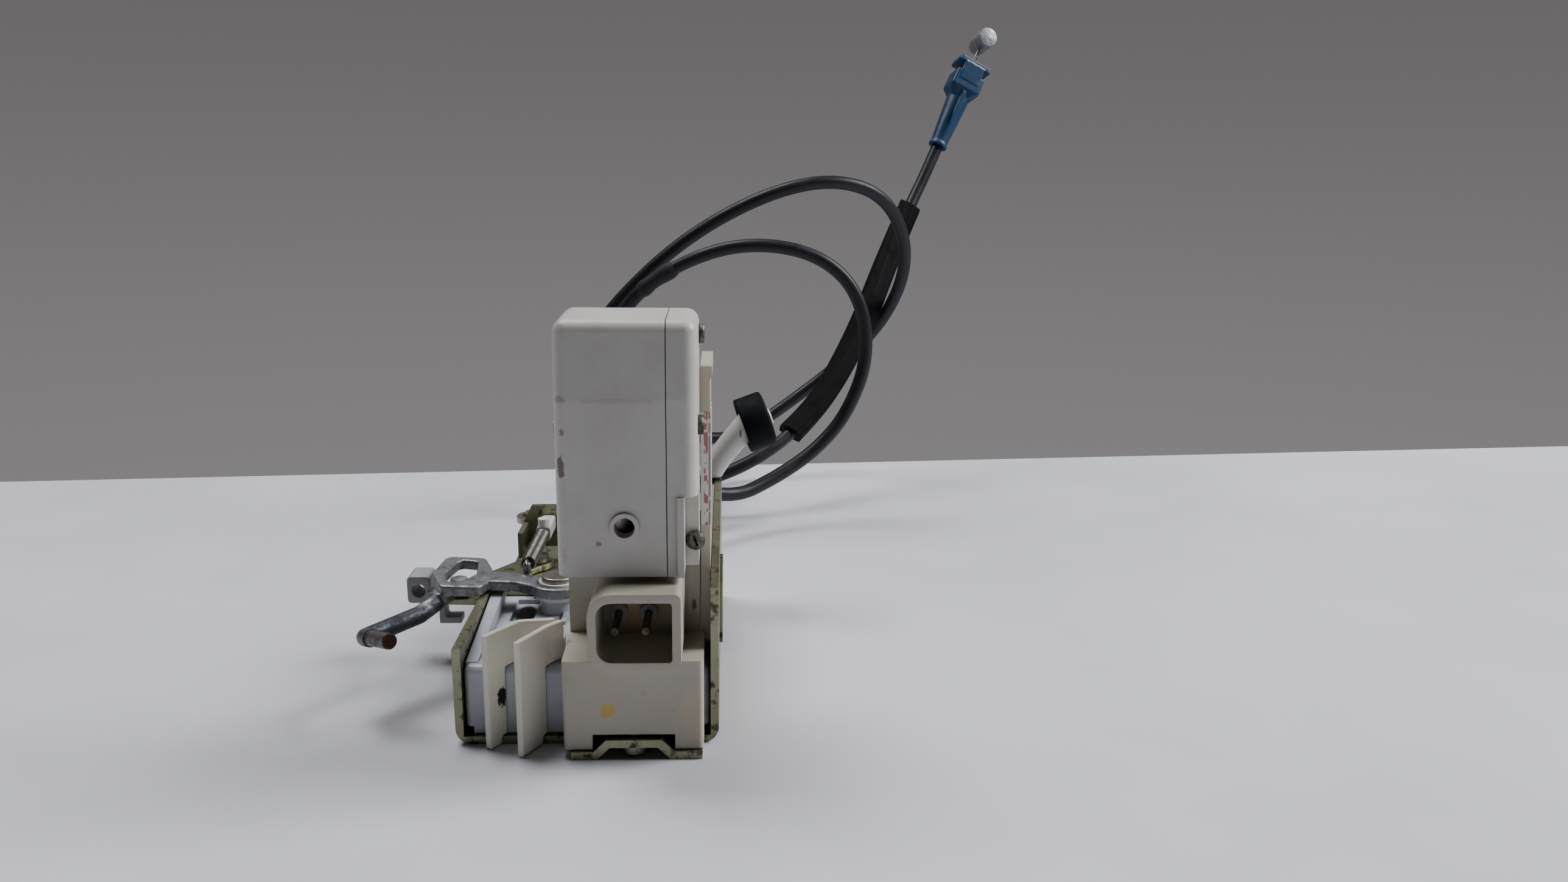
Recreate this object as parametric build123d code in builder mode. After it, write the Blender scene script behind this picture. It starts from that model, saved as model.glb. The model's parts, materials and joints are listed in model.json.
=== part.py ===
from build123d import *
import os
from math import cos, pi, radians, sin, sqrt, tan

os.makedirs("parts", exist_ok=True)

# Car door latch with a central locking actuator and a Bowden cable.
# Frame: the mounting face lies on z = 0 with the origin at its centre. +X points to the side
# where the striker enters, +Y to the end where the cable leaves. Sizes are in millimetres.

# Steel shell
shell_width = 63.5
shell_length = 100.0
steel = 2.0
left_flange_height = 24.5
left_flange_length = 46.8
right_wall_height = 40.0
inner_bend = 2.0
fit = 0.2
gap = 0.3
running_fit = 0.05
half_width = shell_width / 2
front = -shell_length / 2
back = shell_length / 2

# Tongue in front of the shell: flat brims and a raised channel
tongue_reach = 8.5
tongue_x = (-3.1, 27.9)
channel_x = (3.0, 20.4)
channel_rise = 3.0
channel_length = 14.0

# Striker slot
slot_y = 14.0
slot_width = 15.0
slot_end_x = -4.5
slot_height = 20.0

# Fixing holes for M6 screws
screw_radius = 2.6
screw_collar = 4.4
screw_collar_height = 3.0
screw_places = [(-21.0, -37.0), (19.0, -34.0), (22.5, 41.0)]

# Nylon housing
housing_wall = 2.0
housing_top = 19.5
housing_roof = 2.3
housing_front = front + 1.5
housing_back = back - 2.0
housing_side = half_width - steel - fit
roof_z = housing_top - housing_roof

# Fork bolt and pawl
fork_pivot = (3.6, 33.0)
fork_level = 5.0
fork_thickness = 4.0
fork_hub_radius = 12.0
fork_horn_radius = 23.0
fork_tooth_radius = 19.5
fork_mouth = 10.6
fork_travel = 65.0
striker_offset = fork_pivot[1] - slot_y
fork_rivet_radius = 4.0
pawl_pivot = (-15.0, 3.0)
pawl_reach = 27.0
pawl_lift = 14.0
pawl_rivet_radius = 3.0

# Back plate over the rear of the housing
plate_thickness = 1.5
plate_z = housing_top + fit
plate_top = plate_z + plate_thickness

# Outside handle lever
lever_z = 24.9
lever_thickness = 2.8
lever_hub = (-11.5, -11.6)
lever_hub_radius = 7.0
lever_bore = 5.0
lever_top = lever_z + lever_thickness
arm_radius = 2.35
pin_radius = 2.0
pin_tip = (-48.6, -41.0, 23.0)
pin_collar = 3.0

# Lock lever and rod clip
lock_pivot = (-22.0, 18.0)
lock_z = plate_top + gap
lock_thickness = 1.5
lock_stud_radius = 2.5
lock_arm = 25.0
lock_swing = 20.0
clip_eye = (-half_width - 19.75, 5.0, 20.3)
lock_step = (-half_width - 3.85, -half_width - 2.25)
lock_reach = 8.4
clip_bore = 1.8

# Rear bracket
bracket_y = 25.0
bracket_x = (-26.0, 22.0)
bracket_top = 37.7
bracket_chamfer = 5.0
bracket_thickness = 1.5
bracket_clear = 25.2

# Switch housing and connector
body_x = (-4.9, 28.2)
body_front = front - 7.5
body_top = 24.5
ledge_back = -39.0
neck_back = -31.5
neck_top = 45.4
connector_x = (2.3, 23.4)
connector_z = (25.9, 44.2)
connector_front = -66.0
connector_wall = 2.0
connector_depth = 18.0
pin_pitch = 7.0
pin_x = 8.1
pin_z = 33.5

# Actuator
actuator_x = (-5.0, 27.1)
actuator_front = front - 8.0
motor_radius = 9.0
motor_gap = 0.5
actuator_z = (45.6, 104.5)
actuator_wall = 2.0
front_wall = 3.0
seam_x = 20.0
seam_gap = 0.2
crease_z = 86.9
crease_lean = 1.4
step_z = 64.4
step_x = 24.0
corner = 3.0
motor_room = motor_radius + motor_gap
motor_centre = (actuator_x[0] + actuator_wall + motor_gap + motor_room,
                actuator_front + front_wall + motor_room)
actuator_back = motor_centre[1] + motor_room + actuator_wall
motor_z = (49.0, 77.0)
shaft_radius = 1.0
worm_pitch = 1.6
worm_root = 2.0
worm_tip = 2.8
worm_z = (82.0, 94.0)
wheel_teeth = 26
wheel_root = 6.0
wheel_tip = 6.95
wheel_axis_z = 88.0
wheel_distance = 9.15
output_radius = 12.0
output_angle = 249.0
wheel_x = motor_centre[0] + wheel_distance

# Carrier beside the shell's right wall
carrier_x = (27.3, 29.6)
carrier_top = 91.0
carrier_upper_y = (ledge_back + fit, -18.0)
carrier_lower_y = (ledge_back + fit, 48.0)
carrier_lower_z = (21.5, 39.0)

# Inside handle lever and cable
inside_pivot = (20.0, 42.0)
inside_z = 23.2
inside_thickness = 2.0
cable_exit = (8.0, 60.0, 27.0)
cable_radius = 2.5
wire_radius = 0.75
nipple_y = 40.0
anchor_y = 52.0
anchor_thickness = 1.5

# Route of the cable from the lock to its free end
cable_route = [
    cable_exit,
    (8.0, 92.0, 27.0),
    (34.7, 110.0, 14.1),
    (51.3, 122.0, 19.1),
    (66.6, 130.0, 27.5),
    (78.6, 134.0, 40.7),
    (86.5, 136.0, 62.5),
    (82.2, 136.0, 87.0),
    (65.7, 136.0, 101.2),
    (40.0, 136.0, 104.6),
    (16.2, 136.0, 97.3),
    (-4.3, 138.0, 82.4),
    (-15.0, 147.0, 58.0),
    (-16.0, 159.0, 38.0),
    (-3.0, 170.0, 25.0),
    (17.0, 178.0, 21.0),
    (37.1, 188.0, 17.4),
    (57.9, 198.0, 30.0),
    (78.5, 204.0, 44.3),
    (99.0, 196.0, 66.2),
    (106.8, 178.0, 94.8),
    (96.0, 164.0, 119.5),
    (73.8, 154.0, 127.3),
    (47.1, 150.0, 121.4),
    (16.1, 150.0, 104.1),
    (-11.1, 150.0, 78.4),
    (-24.0, 148.0, 58.0),
    (-29.0, 144.0, 36.0),
    (-21.0, 139.0, 18.0),
    (1.0, 135.0, 7.0),
    (32.4, 136.0, 16.3),
    (48.4, 144.0, 22.8),
    (58.4, 152.0, 28.8),
    (73.1, 166.0, 42.0),
    (88.0, 184.0, 65.4),
    (100.2, 204.0, 90.9),
    (111.4, 220.0, 112.8),
    (119.4, 228.0, 127.4),
    (126.0, 234.0, 141.3),
]


def block(x, y, z, mode=Mode.ADD):
    """Add or cut a box given by its low and high limits along each axis."""
    centre = ((x[0] + x[1]) / 2, (y[0] + y[1]) / 2, (z[0] + z[1]) / 2)
    with Locations(centre):
        Box(x[1] - x[0], y[1] - y[0], z[1] - z[0], mode=mode)


def rod(start, end, radius, mode=Mode.ADD):
    """Add or cut a round bar between two points."""
    axis = Vector(*end) - Vector(*start)
    with Locations(Plane(origin=start, z_dir=axis)):
        Cylinder(radius, axis.length, align=(Align.CENTER, Align.CENTER, Align.MIN), mode=mode)


def disc(centre, z, radius, mode=Mode.ADD):
    """Add or cut an upright cylinder between two heights."""
    rod((centre[0], centre[1], z[0]), (centre[0], centre[1], z[1]), radius, mode)


def prism(points, z, rounding=0.0, mode=Mode.ADD):
    """Add or cut an upright prism with a polygon outline."""
    with BuildSketch(Plane.XY.offset(z[0])) as outline:
        with BuildLine():
            Polyline(*points, close=True)
        make_face()
        if rounding:
            fillet(outline.vertices(), rounding)
    extrude(outline.sketch, amount=z[1] - z[0], mode=mode)


def profile(points, plane, length, mode=Mode.ADD):
    """Add or cut a prism whose polygon lies in a given plane."""
    with BuildSketch(plane) as outline:
        with BuildLine():
            Polyline(*points, close=True)
        make_face()
    extrude(outline.sketch, amount=length, mode=mode)


def coil(centre, z, radius, wire):
    """Add the outer shape of a round coil spring: a tube as thick as its wire."""
    disc(centre, z, radius)
    disc(centre, z, radius - wire, Mode.SUBTRACT)


def save(piece, name):
    """Label a finished piece and write its STEP file."""
    piece.part.label = name
    export_step(piece.part, f"parts/{name}.step")


def turned(pivot, level, degrees):
    """Return a plane at a pivot, turned about the upright axis."""
    direction = (cos(radians(degrees)), sin(radians(degrees)), 0)
    return Plane(origin=(pivot[0], pivot[1], level), x_dir=direction, z_dir=(0, 0, 1))


# Steel shell: a U of folded sheet, its left flange shorter than its right wall
lean = steel * (sqrt(2) - 1)
channel_end = front + channel_length - tongue_reach
with BuildPart() as base_plate:
    with BuildSketch(Plane.XZ.offset(-back)) as section:
        with BuildLine():
            Polyline(
                (-half_width, left_flange_height),
                (-half_width, 0),
                (half_width, 0),
                (half_width, right_wall_height),
                (half_width - steel, right_wall_height),
                (half_width - steel, steel),
                (-half_width + steel, steel),
                (-half_width + steel, left_flange_height),
                close=True,
            )
        make_face()
        fillet(section.vertices().group_by(Axis.Y)[0], inner_bend + steel)
        inner = [v for v in section.vertices() if abs(v.Z - steel) < 0.01 and abs(v.X) < half_width - 1]
        fillet(inner, inner_bend)
    extrude(amount=shell_length)
    block((-half_width - 1, -half_width + steel + inner_bend), (front + left_flange_length, back + 1),
          (steel, left_flange_height + 1), Mode.SUBTRACT)
    # Striker slot through the plate, the bend and the right wall
    slot_centre_x = slot_end_x + slot_width / 2
    block((slot_centre_x, half_width + 1), (slot_y - slot_width / 2, slot_y + slot_width / 2),
          (-1, slot_height), Mode.SUBTRACT)
    disc((slot_centre_x, slot_y), (-1, steel + 1), slot_width / 2, Mode.SUBTRACT)
    # Tongue with its raised channel, running a little way into the plate
    block((channel_x[0] - lean, channel_x[1] + lean), (front - 1, channel_end), (-1, steel + 1),
          Mode.SUBTRACT)
    profile(
        [
            (tongue_x[0], 0), (channel_x[0], 0), (channel_x[0] + channel_rise, channel_rise),
            (channel_x[1] - channel_rise, channel_rise), (channel_x[1], 0), (tongue_x[1], 0),
            (tongue_x[1], steel), (channel_x[1] + lean, steel),
            (channel_x[1] + lean - channel_rise, steel + channel_rise),
            (channel_x[0] - lean + channel_rise, steel + channel_rise), (channel_x[0] - lean, steel),
            (tongue_x[0], steel),
        ],
        Plane.XZ.offset(-front), tongue_reach)
    profile(
        [
            (channel_x[0] - lean - 1, 0), (channel_x[0], 0), (channel_x[0] + channel_rise, channel_rise),
            (channel_x[1] - channel_rise, channel_rise), (channel_x[1], 0), (channel_x[1] + lean + 1, 0),
            (channel_x[1] + lean + 1, steel), (channel_x[1] + lean, steel),
            (channel_x[1] + lean - channel_rise, steel + channel_rise),
            (channel_x[0] - lean + channel_rise, steel + channel_rise), (channel_x[0] - lean, steel),
            (channel_x[0] - lean - 1, steel),
        ],
        Plane.XZ.offset(-channel_end), channel_end - front)
    block((channel_x[0], channel_x[1]), (channel_end, channel_end + steel), (0, steel + channel_rise / 2))
    tongue_centre_x = (channel_x[0] + channel_x[1]) / 2
    disc((tongue_centre_x, front - tongue_reach / 2), (0, steel + channel_rise + 1), 2.0 + running_fit,
         Mode.SUBTRACT)
    # Threaded collars for the fixing screws, and holes for the pivots
    for place in screw_places:
        disc(place, (0, steel + screw_collar_height), screw_collar)
        disc(place, (-1, steel + screw_collar_height + 1), screw_radius, Mode.SUBTRACT)
    disc(fork_pivot, (-1, steel + 1), fork_rivet_radius + running_fit, Mode.SUBTRACT)
    disc(pawl_pivot, (-1, steel + 1), pawl_rivet_radius + running_fit, Mode.SUBTRACT)
    # Pressed boss on the right wall
    with Locations((half_width + 0.4, -22.0, 27.0)):
        Box(0.8, 22.0, 16.0)
save(base_plate, "base_plate")

# Nylon housing: a box open towards the shell, with a window and a wedge rib on its top
with BuildPart() as latch_housing:
    block((-housing_side, housing_side), (housing_front, housing_back), (steel + fit, housing_top))
    fillet(latch_housing.edges().filter_by(Axis.X).group_by(Axis.Z)[-1].sort_by(Axis.Y)[0], 2.0)
    fillet(latch_housing.edges().filter_by(Axis.Z), 1.5)
    block((-housing_side + housing_wall, housing_side - housing_wall),
          (housing_front + housing_wall, housing_back - housing_wall), (steel, roof_z), Mode.SUBTRACT)
    # Room for the bends of the shell
    for side in (-1, 1):
        with BuildSketch(Plane.XZ.offset(-back)) as bend_room:
            with Locations((side * housing_side, steel)):
                Rectangle(2 * inner_bend, 2 * inner_bend)
        extrude(bend_room.sketch, amount=shell_length, mode=Mode.SUBTRACT)
    # Striker opening in the right wall
    block((housing_side - housing_wall - 1, housing_side + 1),
          (slot_y - slot_width / 2, slot_y + slot_width / 2), (steel - 1, roof_z), Mode.SUBTRACT)
    # Holes for the pivots and the window in the top
    disc(fork_pivot, (roof_z - 1, housing_top + 1), fork_rivet_radius + fit, Mode.SUBTRACT)
    disc(pawl_pivot, (roof_z - 1, housing_top + 1), pawl_rivet_radius + fit, Mode.SUBTRACT)
    block((-23.3, -17.1), (-19.5, -4.0), (housing_top - 1.2, housing_top + 1), Mode.SUBTRACT)
    # Room for the raised channel and the rivet of the tongue
    block((channel_x[0] - 1, channel_x[1] + 1), (housing_front - 1, channel_end + steel + fit),
          (steel, steel + channel_rise + fit), Mode.SUBTRACT)
    # Wedge rib beside the left flange, rising to its far end
    profile([(-46.0, housing_top - 0.5), (-6.0, housing_top - 0.5), (-6.0, 22.6),
             (-8.0, left_flange_height - 0.6),
             (-10.0, left_flange_height - 0.6), (-46.0, housing_top + 0.2)],
            Plane.YZ.offset(-housing_side + 0.2), 3.0)
    # Two short ribs beside the window
    for rib_x in (-9.6, -6.2):
        block((rib_x, rib_x + 1.2), (-22.0, -12.0 + rib_x / 10), (housing_top - 0.5, housing_top + 1.0))
    # Boss under the hub of the outside lever
    disc(lever_hub, (housing_top - 0.5, lever_z - 1.2), 4.6)
    disc(lever_hub, (roof_z - 1, lever_z), lock_stud_radius + running_fit, Mode.SUBTRACT)
save(latch_housing, "latch_housing")

with BuildPart() as striker_bumper:
    block((slot_end_x - 4.5, slot_end_x + 1.0), (slot_y - 6.0, slot_y + 6.0), (10.0, roof_z - fit))
    fillet(striker_bumper.edges().filter_by(Axis.Z), 1.5)
save(striker_bumper, "striker_bumper")

# Steel back plate that ties the pivots together over the housing
with BuildPart() as back_plate:
    prism([(-28.5, -1.0), (-19.5, -1.0), (-19.5, -3.5), (-3.0, -3.5), (-3.0, -1.0), (26.8, -1.0),
           (26.8, 47.5),
           (-28.5, 47.5)], (plate_z, plate_top), 1.0)
    disc(fork_pivot, (plate_z - 1, plate_top + 1), fork_rivet_radius + running_fit, Mode.SUBTRACT)
    disc(pawl_pivot, (plate_z - 1, plate_top + 1), pawl_rivet_radius + running_fit, Mode.SUBTRACT)
    disc(lock_pivot, (plate_z - 1, plate_top + 1), lock_stud_radius, Mode.SUBTRACT)
    disc(inside_pivot, (plate_z - 1, plate_top + 1), lock_stud_radius, Mode.SUBTRACT)
save(back_plate, "back_plate")

# Rivets that carry the fork bolt and the pawl
with BuildPart() as fork_rivet:
    disc(fork_pivot, (0.2, plate_top), fork_rivet_radius)
    disc(fork_pivot, (steel + running_fit, fork_level - running_fit), fork_rivet_radius + 1.5)
    disc(fork_pivot, (plate_top, plate_top + 1.2), fork_rivet_radius + 1.6)
save(fork_rivet, "fork_rivet")

with BuildPart() as pawl_rivet:
    disc(pawl_pivot, (0.2, plate_top), pawl_rivet_radius)
    disc(pawl_pivot, (steel + running_fit, fork_level - running_fit), pawl_rivet_radius + 1.5)
    disc(pawl_pivot, (plate_top, plate_top + 1.2), pawl_rivet_radius + 1.4)
save(pawl_rivet, "pawl_rivet")

# Fork bolt, drawn as it stands when shut and turned back to its open place
fork_plane = turned(fork_pivot, fork_level, fork_travel)
with BuildPart() as fork_bolt:
    with BuildSketch(fork_plane):
        Circle(fork_hub_radius)
        with Locations((0, -striker_offset + fork_mouth / 2)):
            Rectangle(2 * (fork_mouth / 2 + 5.0), fork_horn_radius - striker_offset + fork_mouth + 4.0)
        with BuildLine():
            Polyline(
                (-fork_hub_radius + 3, 4.0), (-fork_tooth_radius + 1.5, 1.5), (-fork_tooth_radius + 0.3,
                                                                               -2.3),
                (-fork_hub_radius + 3, -1.2), close=True)
        make_face()
    extrude(amount=fork_thickness)
    with BuildSketch(fork_plane):
        Circle(fork_horn_radius)
    extrude(amount=fork_thickness, mode=Mode.INTERSECT)
    with BuildSketch(fork_plane):
        with Locations((0, -striker_offset)):
            Circle(fork_mouth / 2)
        with Locations((0, -striker_offset - fork_mouth)):
            Rectangle(fork_mouth, 2 * fork_mouth)
        Circle(fork_rivet_radius + running_fit)
    extrude(amount=fork_thickness, mode=Mode.SUBTRACT)
save(fork_bolt, "fork_bolt")

with BuildPart() as fork_jacket:
    with BuildSketch(turned(fork_pivot, fork_level + fork_thickness, fork_travel)):
        Circle(fork_hub_radius - 1.0)
        Circle(fork_rivet_radius + 1.0, mode=Mode.SUBTRACT)
    extrude(amount=1.0)
save(fork_jacket, "fork_jacket")

with BuildPart() as fork_spring:
    coil(fork_pivot, (fork_level + fork_thickness + 1.5, roof_z - 0.5), 8.0, 1.2)
save(fork_spring, "fork_spring")

# Pawl, drawn as it stands behind the fork's tooth and turned back to its lifted place
with BuildPart() as pawl:
    with BuildSketch(turned(pawl_pivot, fork_level, pawl_lift)):
        Circle(6.0)
        with BuildLine():
            Polyline((-4.5, 0), (4.5, 0), (5.0, pawl_reach), (-1.0, pawl_reach), (-3.5, pawl_reach - 4.0),
                     close=True)
        make_face()
        with BuildLine():
            Polyline((-3.0, 0), (-1.0, -12.0), (3.0, -12.0), (3.0, 0), close=True)
        make_face()
        Circle(pawl_rivet_radius + running_fit, mode=Mode.SUBTRACT)
    extrude(amount=fork_thickness)
save(pawl, "pawl")

with BuildPart() as pawl_spring:
    coil(pawl_pivot, (fork_level + fork_thickness + 0.5, roof_z - 0.5), 5.2, 1.0)
save(pawl_spring, "pawl_spring")

# Soft splash flap: two upright leaves that meet at a foot on the housing
leaf = 1.7
flap_z = (0.3, 29.3)


def leaf_wall(start, end):
    """Add an upright wall of the flap along a line in plan."""
    near = Vector(*start)
    far = Vector(*end)
    along = (far - near).normalized() * (leaf / 2)
    side = Vector(-along.Y, along.X)
    corners = [near - side, far - side, far + side, near + side]
    prism([(corner_point.X, corner_point.Y) for corner_point in corners], flap_z)


with BuildPart() as splash_flap:
    leaf_wall((-23.4, -53.0), (-16.2, -42.8))
    leaf_wall((-16.8, -43.3), (-8.2, -42.0))
    leaf_wall((-15.2, -57.2), (-9.4, -46.4))
    leaf_wall((-9.9, -47.0), (-6.4, -43.0))
    block((-9.5, -6.0), (-44.0, -39.0), (housing_top + 0.1, 24.0))
    block((-40, 0), (housing_front - fit, -36), (-1, housing_top + 0.05), Mode.SUBTRACT)
    block((-40, 0), (front - fit, -36), (-1, steel + fit), Mode.SUBTRACT)
save(splash_flap, "splash_flap")

# Outside handle lever: hub, neck, open ring and a bent arm, in one zinc casting
ring_outline = [(-46.2, -5.0), (-45.1, 9.2), (-33.9, 7.5), (-29.8, -3.4), (-29.9, -11.3), (-31.5, -16.0),
                (-42.0, -15.1)]
ring_hole = [(-42.6, -5.2), (-40.8, 6.0), (-35.6, 4.4), (-34.2, -5.1), (-37.0, -11.6), (-40.6, -11.2)]
neck_outline = [(-32.0, -3.4), (-25.6, -4.2), (-16.5, -7.0), (-15.5, -16.6), (-22.6, -12.1), (-32.0, -11.3)]
arm_points = [(-42.0, -12.5, 23.4), (-46.5, -19.0, 21.2), (-57.0, -31.5, 20.2)]
spring_post = (-20.3, -6.5)
with BuildPart() as outside_handle_lever:
    prism(ring_outline, (lever_z, lever_top), 2.4)
    prism(neck_outline, (lever_z, lever_top), 1.0)
    disc(lever_hub, (lever_z, lever_top), lever_hub_radius)
    disc(lever_hub, (lever_z - 1, lever_top + 1), lever_bore + running_fit, Mode.SUBTRACT)
    prism(ring_hole, (lever_z - 1, lever_top + 1), 1.6, Mode.SUBTRACT)
    fillet(outside_handle_lever.edges().group_by(Axis.Z)[-1], 0.5)
    for start, end in zip(arm_points, arm_points[1:]):
        rod(start, end, arm_radius)
    for point in arm_points:
        with Locations(point):
            Sphere(arm_radius)
    disc((-41.5, -12.5), (22.8, lever_z + 0.5), arm_radius + 0.6)
    disc(spring_post, (lever_top - 0.5, lever_top + 3.4), 1.1)
save(outside_handle_lever, "outside_handle_lever")

# Steel pin at the end of the arm, with a collar at its root
pin_root = arm_points[-1]
pin_way = (Vector(*pin_tip) - Vector(*pin_root)).normalized()
with BuildPart() as outside_lever_pin:
    rod(pin_root, tuple(Vector(*pin_root) + pin_way * pin_collar), arm_radius)
    rod(pin_root, pin_tip, pin_radius)
    with Locations(pin_root):
        Sphere(arm_radius, mode=Mode.SUBTRACT)
    rod(arm_points[-2], pin_root, arm_radius, Mode.SUBTRACT)
save(outside_lever_pin, "outside_lever_pin")

# Nylon bush and steel stud that carry the outside lever
with BuildPart() as lever_bush:
    disc(lever_hub, (lever_z - 1.2, lever_top + 0.4), lever_bore)
    disc(lever_hub, (lever_z - 1.2, lever_z), lever_hub_radius - 1.0)
    disc(lever_hub, (lever_z - 2, lever_top + 1), lock_stud_radius + running_fit, Mode.SUBTRACT)
save(lever_bush, "lever_bush")

with BuildPart() as lever_stud:
    disc(lever_hub, (roof_z + 0.3, lever_top + 0.4), lock_stud_radius)
    disc(lever_hub, (lever_top + 0.4, lever_top + 1.8), 4.2)
    fillet(lever_stud.edges().group_by(Axis.Z)[-1], 0.6)
save(lever_stud, "lever_stud")

# Return spring of the outside lever, a tension coil with a straight tail at each end
spring_start = (-20.3, -4.6, 30.2)
spring_end = (-18.8, 12.6, 32.6)
with BuildPart() as lever_return_spring:
    rod(spring_start, spring_end, 2.1)
    rod(spring_start, spring_end, 1.4, Mode.SUBTRACT)
save(lever_return_spring, "lever_return_spring")

# Rear bracket: an upright pan behind the levers, with a side wall and a foot
with BuildPart() as rear_bracket:
    profile(
        [
            (bracket_x[0], bracket_clear), (bracket_x[0], bracket_top - bracket_chamfer),
            (bracket_x[0] + bracket_chamfer / 2, bracket_top), (bracket_x[1], bracket_top),
            (bracket_x[1], plate_top), (-12.0, plate_top), (-12.0, bracket_clear),
        ],
        Plane.XZ.offset(-bracket_y - bracket_thickness), bracket_thickness)
    block((bracket_x[0], bracket_x[0] + bracket_thickness), (bracket_y - 11.0, bracket_y + 1.0),
          (bracket_clear, bracket_top - bracket_chamfer))
    block((-6.0, bracket_x[1]), (bracket_y - 11.0, bracket_y + 1.0),
          (plate_top, plate_top + bracket_thickness))
    for place in ((-1.0, bracket_y - 6.0), (15.0, bracket_y - 6.0)):
        disc(place, (plate_top - 1, plate_top + 3), 2.0, Mode.SUBTRACT)
save(rear_bracket, "rear_bracket")

with BuildPart() as bracket_rivets:
    for place in ((-1.0, bracket_y - 6.0), (15.0, bracket_y - 6.0)):
        disc(place, (plate_top, plate_top + bracket_thickness + 0.1), 2.0)
        disc(place, (plate_top + bracket_thickness, plate_top + bracket_thickness + 1.2), 3.2)
save(bracket_rivets, "bracket_rivets")

# White nylon post on the rear bracket that holds the far end of the spring
with BuildPart() as spring_anchor:
    block((-20.6, -16.6), (13.0, bracket_y), (30.8, 34.8))
    fillet(spring_anchor.edges().filter_by(Axis.Y), 0.8)
    disc((-18.6, 14.6), (33.0, 37.0), 1.6)
save(spring_anchor, "spring_anchor")

# Lock lever on the back plate, its outer end stepped down outside the shell
lock_level = (lock_z, lock_z + lock_thickness)
lock_pin = (lock_pivot[0] - lock_arm * sin(radians(lock_swing / 2)),
            lock_pivot[1] + lock_arm * cos(radians(lock_swing / 2)))
with BuildPart() as lock_lever:
    disc(lock_pivot, lock_level, 5.2)
    prism([(-26.0, 20.0), (lock_step[0] - 0.8, 4.0), (lock_step[0] - 0.8, -1.5), (lock_step[1] + 2.0, -1.5),
           (-18.6, 14.5)], lock_level, 0.8)
    block(lock_step, (-1.5, 4.0), (17.0, lock_level[1]))
    prism([(lock_step[0] - lock_reach, -1.0), (lock_step[0] - lock_reach, 5.0), (lock_step[1], 4.0),
           (lock_step[1], -1.5)], (17.0, 17.0 + lock_thickness), 0.6)
    prism([(lock_pivot[0] - 4.0, lock_pivot[1]), (lock_pin[0] - 3.2, lock_pin[1]),
           (lock_pin[0] + 3.2, lock_pin[1]),
           (lock_pivot[0] + 4.0, lock_pivot[1])], lock_level)
    disc(lock_pin, lock_level, 3.2)
    disc(lock_pin, (lock_level[1], 30.5), 2.0)
    disc(lock_pivot, (lock_z - 1, lock_z + 3), lock_stud_radius + running_fit, Mode.SUBTRACT)
save(lock_lever, "lock_lever")

with BuildPart() as lock_stud:
    disc(lock_pivot, (plate_z, lock_level[1] + gap), lock_stud_radius)
    disc(lock_pivot, (lock_level[1] + gap, lock_level[1] + gap + 1.2), 4.0)
save(lock_stud, "lock_stud")

# Grey nylon clip for the lock rod, snapped onto the lock lever's outer end
with BuildPart() as rod_clip:
    block((clip_eye[0] - 3.2, clip_eye[0] + 3.2), (clip_eye[1] - 4.0, clip_eye[1] + 4.0), (16.6, 24.4))
    fillet(rod_clip.edges().filter_by(Axis.Y), 1.2)
    block((clip_eye[0] + 2.5, clip_eye[0] + 13.5), (0.0, 4.6),
          (17.0 + lock_thickness, 17.0 + lock_thickness + 1.6))
    block((clip_eye[0] + 5.5, clip_eye[0] + 7.3), (0.0, 4.6), (12.0, 17.0 + lock_thickness + 1.0))
    block((clip_eye[0] + 5.5, clip_eye[0] + 11.5), (0.0, 4.6), (11.0, 13.0))
    disc((clip_eye[0] + 10.9, 2.2), (19.0, 23.6), 2.4)
    rod((clip_eye[0], clip_eye[1] - 5, clip_eye[2]), (clip_eye[0], clip_eye[1] + 5, clip_eye[2]), clip_bore,
        Mode.SUBTRACT)
save(rod_clip, "rod_clip")

# Wire link from the actuator's output lever to the lock lever
output_pin = (wheel_x + output_radius * cos(radians(output_angle)),
              wheel_axis_z + output_radius * sin(radians(output_angle)))
link_radius = 1.25
link_y = actuator_back + 4.5
link_eye_z = (27.4, 29.2)
link_path = [
    (output_pin[0], actuator_back + 0.5, output_pin[1]),
    (output_pin[0], link_y, output_pin[1]),
    (8.0, link_y + 5.0, 56.0),
    (-6.0, 30.0, 44.0),
    (-14.0, lock_pin[1], 33.0),
    (-20.0, lock_pin[1], (link_eye_z[0] + link_eye_z[1]) / 2),
    (lock_pin[0] + 3.4, lock_pin[1], (link_eye_z[0] + link_eye_z[1]) / 2),
]
with BuildPart() as lock_link:
    with BuildLine() as link_line:
        FilletPolyline(*link_path, radius=[1.6, 4.0, 5.0, 4.0, 3.0])
    with BuildSketch(Plane(origin=link_path[0], z_dir=(0, 1, 0))):
        Circle(link_radius)
    sweep()
    disc(lock_pin, link_eye_z, 4.6)
    disc(lock_pin, (20, 40), 2.8, Mode.SUBTRACT)
save(lock_link, "lock_link")

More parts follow.
